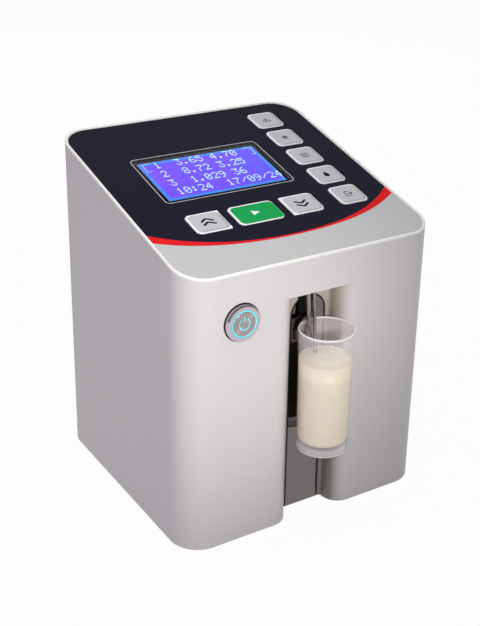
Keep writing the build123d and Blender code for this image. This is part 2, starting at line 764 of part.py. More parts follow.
def fluid_head():
    """Block on the bay's ceiling that joins the steel tubes to the hoses."""
    front_y = -BODY_D / 2 + WALL + HEAD_FRONT_GAP
    depth = HEAD_BACK_Y - front_y
    block = Pos(BAY_X, front_y + depth / 2, HEAD_Z) * Box(2 * HEAD_HALF_W, depth, HEAD_H, align=BASE)
    for x, radius, side in ((SUCTION_X, SUCTION_R, 1), (RETURN_X, RETURN_R, -1)):
        port_x = BAY_X + side * PORT_HALF
        at = Vector(*tube_axis_point(x, PORT_Z))
        block += rod(BARB_R, (port_x, HEAD_BACK_Y - CUT, PORT_Z), (port_x, HEAD_BACK_Y + BARB_L, PORT_Z))
        block -= rod(CHANNEL_R, (port_x, at.Y, PORT_Z), (port_x, HEAD_BACK_Y + BARB_L, PORT_Z))
        block -= rod(CHANNEL_R, (x, at.Y, PORT_Z), (port_x, at.Y, PORT_Z))
        low, high = tube_axis_point(x, HEAD_Z - CUT), tube_axis_point(x, PORT_Z + radius)
        block -= rod(radius + PIN_PLAY, low, high)
    return block


def cup_hook():
    """Black hook: a flat stem from the ceiling and a bar that hugs the cup's left side."""
    y = BAY_BACK_Y - HOOK_GAP - HOOK_T / 2
    stem_h = BAY_TOP + WALL - HOOK_STEM_Z
    stem = Pos(HOOK_X, y, HOOK_STEM_Z) * Box(HOOK_W, HOOK_T, stem_h, align=BASE)
    points = []
    for share in (0.0, 0.5, 1.0):
        turn = radians(HOOK_START_DEG + share * (HOOK_TIP_DEG - HOOK_START_DEG))
        x, y = BAY_X - HOOK_RING_R * sin(turn), CUP_Y + HOOK_RING_R * cos(turn)
        points.append((x, y, HOOK_BAR_Z - HOOK_DROP * share))
    path = ThreePointArc(*points)
    bar = sweep(Plane(origin=path @ 0, z_dir=path % 0) * Circle(HOOK_BAR_R), path=path)
    return stem + bar + Pos(path @ 1) * Sphere(HOOK_BAR_R) + Pos(path @ 0) * Sphere(HOOK_BAR_R)


def cup_radius(height, inset=0.0):
    """Outer radius of the tapered cup at a height above its base, less an inset."""
    return CUP_BASE_R + (CUP_RIM_R - CUP_BASE_R) * height / CUP_H - inset


def ring_solid(points):
    """Turn a closed outline of radius and height about the cup's axis."""
    face = make_face(Plane.XZ * Polyline(*points, close=True))
    return Pos(BAY_X, CUP_Y, CUP_BASE_Z) * revolve(face, Axis.Z)


def sample_cup():
    """Tapered cup with a raised floor over an open skirt."""
    floor_top = CUP_FLOOR_Z + CUP_FLOOR_T
    points = [
        (cup_radius(0, CUP_WALL), 0), (cup_radius(0), 0), (cup_radius(CUP_H), CUP_H),
        (cup_radius(CUP_H, CUP_WALL), CUP_H), (cup_radius(floor_top, CUP_WALL), floor_top),
        (0, floor_top), (0, CUP_FLOOR_Z), (cup_radius(CUP_FLOOR_Z, CUP_WALL), CUP_FLOOR_Z),
    ]
    return ring_solid(points)


def milk_sample():
    """Milk in the cup, with a slot that leaves the tube room while the cup is drawn down."""
    bottom = CUP_FLOOR_Z + CUP_FLOOR_T
    inset = CUP_WALL + MILK_GAP
    sides = [(cup_radius(height, inset), height) for height in (bottom, MILK_TOP)]
    points = [(0, bottom), *sides, (0, MILK_TOP)]
    surface = CUP_BASE_Z + MILK_TOP
    back = tube_axis_point(SUCTION_X, surface)[1]
    front = tube_axis_point(SUCTION_X, SUCTION_TIP_Z)[1]
    width = 2 * (SUCTION_R + MILK_SLOT_PLAY)
    depth = surface - SUCTION_TIP_Z + 2 * CUT
    slot = Rot(0, 0, 90) * extrude(SlotOverall(back - front + width, width), depth)
    slot = Pos(SUCTION_X, (front + back) / 2, SUCTION_TIP_Z - CUT) * slot
    return ring_solid(points) - slot


def bay_plate():
    """Arched polished plate, set flush in the bay's back wall."""
    return arch_block(PLATE_HALF, PLATE_TOP, PLATE_T)


def button_plane():
    """Frame of the power button: z out of the front wall."""
    return Plane(origin=(BUTTON_X, -BODY_D / 2, BUTTON_Z), x_dir=(1, 0, 0), z_dir=(0, -1, 0))


def button_rod(radius, low, high):
    """Round piece on the power button's axis, from low to high out of the front wall."""
    return button_plane().location * Pos(0, 0, low) * Cylinder(radius, high - low, align=BASE)


def button_face():
    """How far the bezel's face stands out of the front wall."""
    return GASKET_T + BUTTON_HEAD_T


def power_button_body():
    """Steel bezel and barrel, with the contact block and tags at its end."""
    face = button_face()
    head = Cylinder(BUTTON_HEAD_R, BUTTON_HEAD_T, align=BASE)
    head = chamfer(head.edges().group_by(Axis.Z)[-1], BUTTON_CHAMFER)
    body = button_plane().location * Pos(0, 0, GASKET_T) * head
    body += button_rod(BUTTON_BARREL_R, GASKET_T - BUTTON_BARREL_L, GASKET_T)
    body -= button_rod(BUTTON_CAP_R + PIN_PLAY, GASKET_T - BUTTON_BARREL_L + BUTTON_FLOOR_T, face + CUT)
    body -= button_rod(BUTTON_RING_R, face - BUTTON_RING_T, face + CUT)
    end = GASKET_T - BUTTON_BARREL_L
    body += button_rod(CONTACT_R, end - CONTACT_L, end)
    for x in (-TAG_PITCH, 0, TAG_PITCH):
        body += button_plane().location * Pos(x, 0, end - CONTACT_L) * Box(TAG_T, TAG_W, TAG_L, align=TOP)
    return body


def power_button_ring():
    """Light ring let into the bezel round the cap."""
    face = button_face()
    ring = button_rod(BUTTON_RING_R, face - BUTTON_RING_T, face)
    return ring - button_rod(BUTTON_RING_R - BUTTON_RING_W, face - BUTTON_RING_T, face)


def power_button_cap():
    """Cap that is pressed in."""
    top = button_face() + BUTTON_CAP_OUT
    cap = Cylinder(BUTTON_CAP_R, BUTTON_CAP_L, align=BASE)
    cap = fillet(cap.edges().group_by(Axis.Z)[-1], BUTTON_EDGE_R)
    return button_plane().location * Pos(0, 0, top - BUTTON_CAP_L) * cap


def power_button_gasket():
    """Flat seal between bezel and wall."""
    return button_rod(GASKET_R, 0, GASKET_T) - button_rod(BUTTON_HOLE_R, 0, GASKET_T)


def power_button_nut():
    """Hexagonal nut behind the front wall."""
    seat = button_plane().location * Pos(0, 0, -WALL - BUTTON_NUT_T)
    nut = extrude(RegularPolygon(BUTTON_NUT_R, 6), BUTTON_NUT_T)
    return seat * (nut - Cylinder(BUTTON_BARREL_R + PIN_PLAY, BUTTON_NUT_T, align=BASE))


def base_plate():
    """Plate that closes the housing from below."""
    plate = extrude(footprint(WALL + PLAY) - channel_plan(WALL + PLAY), BASE_T)
    for x, y in base_boss_places():
        plate -= Pos(x, y, 0) * Cylinder(SCREW_R + SCREW_PLAY, BASE_T, align=BASE)
    for x, y in foot_places():
        plate -= Pos(x, y, 0) * Cylinder(FOOT_HOLE_R, BASE_T, align=BASE)
    for x, y in board_hole_places() + pump_foot_places():
        plate -= Pos(x, y, 0) * Cylinder(SCREW_R + THREAD_BITE, BASE_T, align=BASE)
    return plate


def foot_places():
    """Places of the four feet."""
    return [(i * FOOT_X, j * FOOT_Y) for i in (-1, 1) for j in (-1, 1)]


def feet():
    """Rubber feet, each plugged through the base plate."""
    made = []
    for x, y in foot_places():
        pad = Cylinder(FOOT_R, FOOT_H, align=BASE)
        pad = chamfer(pad.edges().group_by(Axis.Z)[0], FOOT_CHAMFER)
        neck = Pos(0, 0, FOOT_H) * Cylinder(FOOT_NECK_R, BASE_T, align=BASE)
        plug = Pos(0, 0, FOOT_H + BASE_T) * Cone(FOOT_PLUG_R, FOOT_NECK_R, FOOT_PLUG_H, align=BASE)
        made.append(Pos(x, y, -FOOT_H) * (pad + neck + plug))
    return made


def base_screws():
    """Screws up through the base plate into the housing's bosses."""
    return [
        pan_screw((x, y, 0), (0, 0, 1), SCREW_L + BASE_T, SCREW_R, SCREW_HEAD_R, SCREW_HEAD_H)
        for x, y in base_boss_places()
    ]


def board_hole_places():
    """Places of the main board's four holes."""
    dx = BOARD_W / 2 - BOARD_HOLE_IN
    dy = BOARD_D / 2 - BOARD_HOLE_IN
    return [(BOARD_X + i * dx, BOARD_Y + j * dy) for i in (-1, 1) for j in (-1, 1)]


def board_standoffs():
    """Brass pillars screwed into the base plate."""
    made = []
    for x, y in board_hole_places():
        pillar = extrude(RegularPolygon(STANDOFF_R, 6), STANDOFF_H)
        stud = Pos(0, 0, -BASE_T) * Cylinder(SCREW_R, BASE_T, align=BASE)
        hole = Pos(0, 0, STANDOFF_H / 3) * Cylinder(SCREW_R + THREAD_BITE, STANDOFF_H, align=BASE)
        made.append(Pos(x, y, BASE_T) * (pillar + stud - hole))
    return made


def main_board():
    """Main circuit board on its pillars."""
    z = BASE_T + STANDOFF_H
    board = Pos(BOARD_X, BOARD_Y, z) * Box(BOARD_W, BOARD_D, PCB_T, align=BASE)
    for x, y in board_hole_places():
        board -= Pos(x, y, z) * Cylinder(SCREW_R + SCREW_PLAY, PCB_T, align=BASE)
    return board


def board_screws():
    """Screws that hold the main board to its pillars."""
    z = BASE_T + STANDOFF_H + PCB_T
    length = PCB_T + STANDOFF_H / 2
    return [
        pan_screw((x, y, z), (0, 0, -1), length, SCREW_R, SCREW_HEAD_R, SCREW_HEAD_H)
        for x, y in board_hole_places()
    ]


def ribbon_foot_y():
    """Where the ribbon cable comes down on the main board."""
    return BOARD_Y + BOARD_D / 4


def board_parts():
    """Chips, capacitors, relay, terminals and header on the main board."""
    z = BASE_T + STANDOFF_H + PCB_T
    made = [Pos(BOARD_X + x, BOARD_Y + y, z) * Box(w, d, h, align=BASE) for x, y, w, d, h in CHIPS]
    for i in range(CAN_COUNT):
        can = Cylinder(CAN_R, CAN_H, align=BASE)
        can = fillet(can.edges().group_by(Axis.Z)[-1], CAN_EDGE_R)
        made.append(Pos(BOARD_X + CAN_X, BOARD_Y + CAN_PITCH * i, z) * can)
    terminal = Box(TERMINAL_W, TERMINAL_D, TERMINAL_H, align=BASE)
    for x in (-TERMINAL_PITCH, 0, TERMINAL_PITCH):
        hole = Cylinder(TERMINAL_HOLE_R, TERMINAL_HOLE_L, align=TOP)
        terminal -= Pos(x, 0, TERMINAL_H) * hole
    made.append(Pos(BOARD_X + TERMINAL_X, BOARD_Y - BOARD_D / 2 + TERMINAL_IN, z) * terminal)
    made.append(Pos(RIBBON_X, ribbon_foot_y(), z) * Box(HEADER_W, HEADER_D, HEADER_H, align=BASE))
    return made


def display_cable():
    """Flat ribbon cable from the main board's header up to the display's."""
    top = (PANEL.location * Pos(RIBBON_X, display_header_v(), -PCB_BOTTOM - HEADER_H)).position
    low_z = BASE_T + STANDOFF_H + PCB_T + HEADER_H
    down = Vector(0, sin(SLOPE), -cos(SLOPE))
    turn_at = top + down * RIBBON_DROP
    foot = Vector(RIBBON_X, ribbon_foot_y(), low_z)
    rise = foot + Vector(0, 0, RIBBON_RISE)
    path = FilletPolyline(top, turn_at, rise, foot, radius=RIBBON_BEND_R)
    section = Plane(origin=top, x_dir=(1, 0, 0), z_dir=down) * Rectangle(RIBBON_W, RIBBON_T)
    return sweep(section, path=path)


def measuring_cell():
    """Metal block with the sound path bored through it and a barb for each hose."""
    block = Pos(BAY_X, CELL_Y, CELL_Z) * Box(CELL_W, CELL_D, CELL_H, align=BASE)
    mid_z = CELL_Z + CELL_H / 2
    block -= rod(CELL_BORE_R, (BAY_X - CELL_W, CELL_Y, mid_z), (BAY_X + CELL_W, CELL_Y, mid_z))
    for start, end in cell_barbs():
        axis = (end - start).normalized()
        inside = start - axis * (CELL_H / 2)
        block += rod(BARB_R, start - axis * BARB_ROOT, end)
        block -= rod(CELL_DRILL_R, inside, end)
    for x in (-1, 1):
        hole = Cylinder(SCREW_R + THREAD_BITE, CELL_SCREW_BITE + CUT, align=BASE)
        block -= Pos(BAY_X + x * cell_screw_x(), CELL_Y, CELL_Z) * hole
    return block


def cell_screw_x():
    """Half the distance between the screws under the cell."""
    return CELL_W / 2 - CELL_SCREW_IN


def cell_barbs():
    """Root and end of the cell's inlet and outlet barbs."""
    inlet = Vector(BAY_X + PORT_HALF, CELL_Y, CELL_Z + CELL_H)
    outlet = Vector(BAY_X - PORT_HALF, CELL_Y + CELL_D / 2, CELL_Z + CELL_H / 2)
    return [(inlet, inlet + Vector(0, 0, BARB_L)), (outlet, outlet + Vector(0, BARB_L, 0))]


def transducers():
    """Sound transducers that plug the two ends of the cell."""
    made = []
    mid_z = CELL_Z + CELL_H / 2
    for side in (-1, 1):
        face = BAY_X + side * CELL_W / 2
        inner, outer = face - side * TRANSDUCER_PLUG_L, face + side * TRANSDUCER_T
        disc = rod(TRANSDUCER_R, (face, CELL_Y, mid_z), (outer, CELL_Y, mid_z))
        made.append(disc + rod(CELL_BORE_R - TRANSDUCER_PLAY, (inner, CELL_Y, mid_z), (face, CELL_Y, mid_z)))
    return made


def cell_heater():
    """Heater pad on the cell's front side."""
    plan = Box(CELL_W - 2 * HEATER_IN, HEATER_T, CELL_H - 2 * HEATER_IN)
    return Pos(BAY_X, CELL_Y - CELL_D / 2 - HEATER_T / 2, CELL_Z + CELL_H / 2) * plan


def cell_bracket():
    """Bent plate screwed to the bay's back, with a shelf under the cell."""
    y0 = BAY_BACK_Y + WALL + CELL_BOSS_L
    low = CELL_Z - BRACKET_T
    rise = CELL_BOSS_Z - low + BRACKET_RISE
    back = Pos(BAY_X, y0 + BRACKET_T / 2, low) * Box(CELL_W, BRACKET_T, rise, align=BASE)
    shelf_d = CELL_Y + CELL_D / 2 - y0
    shelf = Pos(BAY_X, y0 + shelf_d / 2, low) * Box(CELL_W, shelf_d, BRACKET_T, align=BASE)
    plate = back + shelf
    for x, z in cell_boss_places():
        plate -= rod(SCREW_R + SCREW_PLAY, (x, y0 - CUT, z), (x, y0 + BRACKET_T + CUT, z))
    for x in (-1, 1):
        hole = Cylinder(SCREW_R + SCREW_PLAY, BRACKET_T, align=BASE)
        plate -= Pos(BAY_X + x * cell_screw_x(), CELL_Y, low) * hole
    return plate


def cell_screws():
    """Screws of the bracket and of the cell on its shelf."""
    y = BAY_BACK_Y + WALL + CELL_BOSS_L + BRACKET_T
    short = CELL_BOSS_L + BRACKET_T - CUT
    made = [
        pan_screw((x, y, z), (0, -1, 0), short, SCREW_R, SCREW_HEAD_R, SCREW_HEAD_H)
        for x, z in cell_boss_places()
    ]
    low = CELL_Z - BRACKET_T
    for x in (-1, 1):
        start = (BAY_X + x * cell_screw_x(), CELL_Y, low)
        length = BRACKET_T + CELL_SCREW_BITE
        made.append(pan_screw(start, (0, 0, 1), length, SCREW_R, SCREW_HEAD_R, SCREW_HEAD_H))
    return made


def pump_rod(radius, low, high, x=0.0, y=0.0):
    """Round piece along the pump's axis, from low to high in front of its plate."""
    return PUMP.location * Pos(x, y, low) * Cylinder(radius, high - low, align=BASE)


def roller_place(i):
    """Where a roller's axis lies in the pump's frame."""
    place = Vector(0, ORBIT_R, 0).rotate(Axis.Z, 360.0 / ROLLER_COUNT * i)
    return place.X, place.Y


def pump_screw_places():
    """Places of the four screws through the pump's head."""
    return [(i * PUMP_SCREW_X, y) for i in (-1, 1) for y in PUMP_SCREW_Y]


def pump_head():
    """Pump's block with the round seat that the tube lies in."""
    height = PUMP_HEAD_UP + PUMP_HEAD_DOWN
    middle = (PUMP_HEAD_UP - PUMP_HEAD_DOWN) / 2
    block = PUMP.location * Pos(0, middle, 0) * Box(PUMP_HEAD_W, height, PUMP_HEAD_T, align=BASE)
    block -= pump_rod(PUMP_RING_R, 0, PUMP_HEAD_T)
    mouth = Box(2 * PUMP_RING_R, PUMP_HEAD_UP, PUMP_HEAD_T, align=BASE)
    block -= PUMP.location * Pos(0, PUMP_HEAD_UP / 2, 0) * mouth
    for x, y in pump_screw_places():
        block -= pump_rod(SCREW_R + SCREW_PLAY, 0, PUMP_HEAD_T, x, y)
    return block


def pump_cover():
    """Clear plate in front of the rollers."""
    height = PUMP_HEAD_UP + PUMP_HEAD_DOWN
    middle = (PUMP_HEAD_UP - PUMP_HEAD_DOWN) / 2
    plate = PUMP.location * Pos(0, middle, PUMP_HEAD_T) * Box(PUMP_HEAD_W, height, PUMP_COVER_T, align=BASE)
    for x, y in pump_screw_places():
        plate -= pump_rod(SCREW_R + SCREW_PLAY, PUMP_HEAD_T, PUMP_HEAD_T + PUMP_COVER_T, x, y)
    return plate


def pump_foot_places():
    """Places of the two screws through the bracket's flange."""
    y = PUMP_Y + PUMP_PLATE_T + PUMP_FLANGE_L / 2
    return [(PUMP_X + i * PUMP_HEAD_W / 3, y) for i in (-1, 1)]


def pump_bracket():
    """Bent plate that stands on the base plate and carries motor and pump."""
    top = PUMP_Z + PUMP_HEAD_UP - BASE_T
    upright = Pos(PUMP_X, PUMP_Y + PUMP_PLATE_T / 2, BASE_T) * Box(PUMP_HEAD_W, PUMP_PLATE_T, top, align=BASE)
    flange_d = PUMP_PLATE_T + PUMP_FLANGE_L
    flange = Pos(PUMP_X, PUMP_Y + flange_d / 2, BASE_T) * Box(PUMP_HEAD_W, flange_d, PUMP_PLATE_T, align=BASE)
    plate = upright + flange
    plate -= pump_rod(SHAFT_R + SCREW_PLAY, -PUMP_PLATE_T, 0)
    for x, y in pump_screw_places():
        plate -= pump_rod(SCREW_R + THREAD_BITE, -PUMP_PLATE_T, 0, x, y)
    for side in (-1, 1):
        plate -= pump_rod(SMALL_SCREW_R + PLAY, -PUMP_PLATE_T, 0, side * MOTOR_SCREW_X)
    for x, y in pump_foot_places():
        plate -= Pos(x, y, BASE_T) * Cylinder(SCREW_R + SCREW_PLAY, PUMP_PLATE_T, align=BASE)
    return plate


def pump_motor():
    """Geared motor behind the bracket."""
    motor = pump_rod(MOTOR_R, -PUMP_PLATE_T - MOTOR_L, -PUMP_PLATE_T)
    motor = fillet(motor.edges().group_by(Axis.Y)[-1], MOTOR_EDGE_R)
    motor -= pump_rod(SHAFT_R + SHAFT_PLAY, -PUMP_PLATE_T - SHAFT_L, -PUMP_PLATE_T)
    for side in (-1, 1):
        end = -PUMP_PLATE_T - SMALL_SCREW_L
        motor -= pump_rod(SMALL_SCREW_R + THREAD_BITE, end, -PUMP_PLATE_T, side * MOTOR_SCREW_X)
        tag = Box(TAG_T, TAG_W, TAG_L, align=TOP)
        motor += PUMP.location * Pos(side * TAG_PITCH, 0, -PUMP_PLATE_T - MOTOR_L) * tag
    return motor


def pump_rotor():
    """Shaft, disc, hub and the pins that the rollers turn on."""
    pin_end = ROLLER_Z + ROLLER_L + ROLLER_END_GAP
    rotor = pump_rod(ORBIT_R + ROTOR_DISC_RIM, ROTOR_DISC_Z, ROTOR_DISC_Z + ROTOR_DISC_T)
    rotor += pump_rod(ROTOR_HUB_R, ROTOR_DISC_Z, pin_end)
    rotor += pump_rod(SHAFT_R, CUT - PUMP_PLATE_T - SHAFT_L, ROTOR_DISC_Z)
    for i in range(ROLLER_COUNT):
        x, y = roller_place(i)
        rotor += pump_rod(PIN_R, ROTOR_DISC_Z, pin_end, x, y)
    return rotor


def pump_roller(i):
    """One roller on its pin."""
    x, y = roller_place(i)
    roller = pump_rod(ROLLER_R, ROLLER_Z, ROLLER_Z + ROLLER_L, x, y)
    return roller - pump_rod(PIN_R + PIN_PLAY, ROLLER_Z, ROLLER_Z + ROLLER_L, x, y)


def pump_screws():
    """Screws through cover and head, into the motor, and through the flange."""
    made = []
    reach = PUMP_HEAD_T + PUMP_COVER_T
    for x, y in pump_screw_places():
        start = (PUMP.location * Pos(x, y, reach)).position
        made.append(pan_screw(start, (0, 1, 0), reach + PUMP_PLATE_T, SCREW_R, SCREW_HEAD_R, SCREW_HEAD_H))
    for side in (-1, 1):
        start = (PUMP.location * Pos(side * MOTOR_SCREW_X, 0, 0)).position
        made.append(pan_screw(start, (0, 1, 0), SMALL_SCREW_L, SMALL_SCREW_R, SMALL_HEAD_R, SMALL_HEAD_H))
    for x, y in pump_foot_places():
        start = (x, y, BASE_T + PUMP_PLATE_T)
        made.append(pan_screw(start, (0, 0, -1), BASE_T + PUMP_PLATE_T, SCREW_R, SCREW_HEAD_R, SCREW_HEAD_H))
    return made


def hose(points, radius):
    """Hose along straight runs joined by tangent arcs."""
    corners = [Vector(*p) for p in points]
    path = FilletPolyline(*corners, radius=radius) if len(corners) > 2 else Line(*corners)
    start = (corners[1] - corners[0]).normalized()
    ring = Circle(HOSE_R) - Circle(HOSE_BORE_R)
    return sweep(Plane(origin=corners[0], z_dir=start) * ring, path=path)


def pump_tube():
    """Soft tube bent round the pump's seat."""
    left = [(-TUBE_LINE_R, PUMP_TUBE_UP), (-TUBE_LINE_R, 0)]
    right = [(TUBE_LINE_R, 0), (TUBE_LINE_R, PUMP_TUBE_UP)]
    path = Line(*left) + ThreePointArc((-TUBE_LINE_R, 0), (0, -TUBE_LINE_R), (TUBE_LINE_R, 0)) + Line(*right)
    ring = Circle(HOSE_R) - Circle(HOSE_BORE_R)
    tube = sweep(Plane(origin=(-TUBE_LINE_R, PUMP_TUBE_UP, 0), z_dir=(0, -1, 0)) * ring, path=path)
    return PUMP.location * Pos(0, 0, TUBE_LINE_Z) * tube


def pump_end(side):
    """End of the pump's tube on one side."""
    return (PUMP.location * Pos(side * TUBE_LINE_R, PUMP_TUBE_UP, TUBE_LINE_Z)).position


def hose_joiners():
    """Barbed joiners between the pump's tube and the hoses."""
    made = []
    for side in (-1, 1):
        end = pump_end(side)
        stem = Cylinder(BARB_R, 2 * JOINER_L + JOINER_FLANGE_T, align=BASE)
        joiner = Pos(end.X, end.Y, end.Z - JOINER_L) * stem
        joiner += Pos(end.X, end.Y, end.Z) * Cylinder(JOINER_FLANGE_R, JOINER_FLANGE_T, align=BASE)
        bore = Cylinder(JOINER_BORE_R, 2 * JOINER_L + JOINER_FLANGE_T, align=BASE)
        made.append(joiner - Pos(end.X, end.Y, end.Z - JOINER_L) * bore)
    return made


def head_port(side):
    """Where a hose starts on the fluid head's barb."""
    return (BAY_X + side * PORT_HALF, HEAD_BACK_Y + HOSE_END_GAP, PORT_Z)


def suction_hose():
    """Hose from the suction tube's barb down to the cell's inlet."""
    start = head_port(1)
    inlet = cell_barbs()[0][0]
    end = (inlet.X, inlet.Y, inlet.Z + HOSE_END_GAP)
    return hose([start, (inlet.X, inlet.Y, PORT_Z), end], HOSE_LONG_BEND_R)


def pump_hose():
    """Hose from the cell's outlet to the pump."""
    outlet = cell_barbs()[1][0]
    end = pump_end(-1)
    points = [
        (outlet.X, outlet.Y + HOSE_END_GAP, outlet.Z), (outlet.X, end.Y, outlet.Z),
        (end.X, end.Y, outlet.Z), (end.X, end.Y, end.Z + JOINER_FLANGE_T),
    ]
    return hose(points, HOSE_BEND_R)


def return_hose():
    """Hose from the pump back to the return tube's barb."""
    start = head_port(-1)
    end = pump_end(1)
    points = [
        (end.X, end.Y, end.Z + JOINER_FLANGE_T), (end.X, end.Y, PORT_Z), (start[0], end.Y, PORT_Z), start,
    ]
    return hose(points, HOSE_LONG_BEND_R)


def rear_panel():
    """Metal panel in the housing's back, with the connectors' cut-outs."""
    frame = rear_plane(0)
    plate = RectangleRounded(REAR_W, REAR_H, REAR_SCREW_IN / 2)
    for x, y in rear_screw_places():
        plate -= Pos(x, y) * Circle(SCREW_R + SCREW_PLAY)
    plate -= Pos(-DC_X, 0) * Circle(DC_BARREL_R + PORT_PLAY)
    plate -= Pos(-USB_X, 0) * Rectangle(USB_W + 2 * PORT_PLAY, USB_H + 2 * PORT_PLAY)
    plate -= Pos(-SERIAL_X, 0) * Rectangle(SERIAL_SHELL_W + 2 * PORT_PLAY, SERIAL_SHELL_H + 2 * PORT_PLAY)
    for side in (-1, 1):
        plate -= Pos(-SERIAL_X + side * JACKSCREW_SPACING / 2, 0) * Circle(JACKSCREW_STUD_R + PORT_PLAY)
    plate -= Pos(-PH_X, 0) * Circle(PH_BARREL_R + PORT_PLAY)
    return frame.location * Pos(0, 0, -REAR_T) * extrude(plate, REAR_T)


def rear_rod(x, radius, low, high, dx=0.0, dy=0.0):
    """Round piece of a rear connector, from low to high out of the panel."""
    return rear_plane(x).location * Pos(dx, dy, low) * Cylinder(radius, high - low, align=BASE)


def rear_screws():
    """Screws of the rear panel."""
    made = []
    for x, y in rear_screw_places():
        start = (rear_plane(0).location * Pos(x, y, 0)).position
        made.append(pan_screw(start, (0, -1, 0), SCREW_L - CUT, SCREW_R, SCREW_HEAD_R, SCREW_HEAD_H))
    return made


def dc_jack():
    """Round power inlet with its centre pin."""
    jack = rear_rod(DC_X, DC_FLANGE_R, 0, DC_FLANGE_T) + rear_rod(DC_X, DC_BARREL_R, -DC_L, 0)
    jack -= rear_rod(DC_X, DC_BORE_R, DC_FLANGE_T - DC_BORE_L, DC_FLANGE_T)
    return jack + rear_rod(DC_X, DC_PIN_R, DC_FLANGE_T - DC_BORE_L, DC_FLANGE_T - CUT)


def panel_nut(x, outer, bore):
    """Hexagonal nut behind the rear panel."""
    seat = rear_plane(x).location * Pos(0, 0, -REAR_T - PANEL_NUT_T)
    nut = extrude(RegularPolygon(outer, 6), PANEL_NUT_T)
    return seat * (nut - Cylinder(bore + PIN_PLAY, PANEL_NUT_T, align=BASE))


def usb_port():
    """Square data socket with its tongue."""
    place = rear_plane(USB_X).location
    mouth = place * Pos(0, 0, USB_OUT - USB_OPEN_L)
    port = place * Pos(0, 0, USB_OUT - USB_L) * Box(USB_W, USB_H, USB_L, align=BASE)
    port -= mouth * Box(USB_OPEN_W, USB_OPEN_H, USB_OPEN_L, align=BASE)
    return port + mouth * Box(USB_TONGUE_W, USB_TONGUE_H, USB_OPEN_L - CUT, align=BASE)


def d_plan(inset=0.0):
    """Outline of the serial port's shell, wider at the top."""
    w = SERIAL_SHELL_W / 2 - inset
    h = SERIAL_SHELL_H / 2 - inset
    lean = 2 * h * tan(radians(SERIAL_SHELL_LEAN))
    plan = make_face(Polyline((-w, h), (w, h), (w - lean, -h), (lean - w, -h), close=True))
    return fillet(plan.vertices(), SERIAL_SHELL_R - inset)


def serial_port():
    """Nine-pin serial port: shell and pins through the panel, body behind it."""
    place = rear_plane(SERIAL_X).location
    back = -REAR_T
    end = SERIAL_SHELL_OUT - SERIAL_PIN_IN
    body = Box(SERIAL_W, SERIAL_H, SERIAL_BODY_L, align=TOP)
    for side in (-1, 1):
        hole = Cylinder(JACKSCREW_STUD_R + THREAD_BITE, JACKSCREW_BITE + JOIN, align=TOP)
        body -= Pos(side * JACKSCREW_SPACING / 2, 0, 0) * hole
    port = place * Pos(0, 0, back) * body
    shell = extrude(d_plan() - d_plan(SERIAL_SHELL_T), SERIAL_SHELL_OUT - back)
    port += place * Pos(0, 0, back) * shell
    for row, count in enumerate(SERIAL_PIN_COUNTS):
        for i in range(count):
            x = (i - (count - 1) / 2) * SERIAL_PIN_PITCH
            port += rear_rod(SERIAL_X, SERIAL_PIN_R, back, end, x, (0.5 - row) * SERIAL_ROW_PITCH)
    return port


def serial_jackscrews():
    """Threaded hexagonal pillars that the serial plug is screwed to."""
    made = []
    for side in (-1, 1):
        seat = rear_plane(SERIAL_X).location * Pos(side * JACKSCREW_SPACING / 2, 0, 0)
        pillar = extrude(RegularPolygon(JACKSCREW_R, 6), JACKSCREW_L)
        pillar -= Cylinder(JACKSCREW_HOLE_R, JACKSCREW_L, align=BASE)
        stud = Cylinder(JACKSCREW_STUD_R, REAR_T + JACKSCREW_BITE, align=TOP)
        made.append(seat * (pillar + stud))
    return made


def ph_socket():
    """Bayonet socket for an acidity probe."""
    end = PH_HEX_T + PH_BARREL_L
    floor = end - PH_BORE_L
    socket = rear_plane(PH_X).location * extrude(RegularPolygon(PH_HEX_R, 6), PH_HEX_T)
    socket += rear_rod(PH_X, PH_BARREL_R, -PH_REAR_L, end)
    socket -= rear_rod(PH_X, PH_BARREL_R - PH_WALL, floor, end + CUT)
    for side in (-1, 1):
        lug = Cylinder(PH_LUG_R, PH_LUG_OUT + PH_WALL / 2, align=BASE)
        place = rear_plane(PH_X).location * Pos(side * (PH_BARREL_R - PH_WALL / 2), 0, end - PH_LUG_AT)
        socket += place * Rot(0, 90 * side, 0) * lug
    core = rear_rod(PH_X, PH_CORE_R, floor - CUT, floor + PH_CORE_L)
    return socket + (core - rear_rod(PH_X, PH_CORE_HOLE_R, floor, end))


def panel_pieces():
    """Pieces of the sloped panel."""
    pieces = {
        "top_cover": top_cover(), "keypad_overlay": keypad_overlay(), "display_window": display_window(),
        "display_frame": display_frame(), "display_glass": display_glass(), "display_board": display_board(),
        "key_board": key_board(), "key_switches": key_switches(), "panel_screws": panel_screws(),
        "display_cable": display_cable(),
    }
    for name, x, v, width, rounded in key_list():
        pieces["key_" + name] = key(x, v, width, rounded)
    return pieces


def case_pieces():
    """Housing, base, rear panel and what is fastened to them."""
    nuts = [panel_nut(DC_X, DC_FLANGE_R, DC_BARREL_R), panel_nut(PH_X, PH_HEX_R, PH_BARREL_R)]
    return {
        "housing": housing(), "base_plate": base_plate(), "feet": feet(), "rear_panel": rear_panel(),
        "case_screws": cover_screws() + base_screws() + rear_screws(), "dc_jack": dc_jack(),
        "usb_port": usb_port(), "serial_port": serial_port(), "serial_jackscrews": serial_jackscrews(),
        "ph_socket": ph_socket(), "connector_nuts": nuts, "power_button_body": power_button_body(),
        "power_button_ring": power_button_ring(), "power_button_cap": power_button_cap(),
        "power_button_gasket": power_button_gasket(), "power_button_nut": power_button_nut(),
    }


def bay_pieces():
    """Plate, tubes and hook of the bay, and the cup with its milk."""
    return {
        "bay_plate": bay_plate(), "suction_tube": suction_tube(), "return_tube": return_tube(),
        "fluid_head": fluid_head(), "cup_hook": cup_hook(), "sample_cup": sample_cup(),
        "milk_sample": milk_sample(),
    }


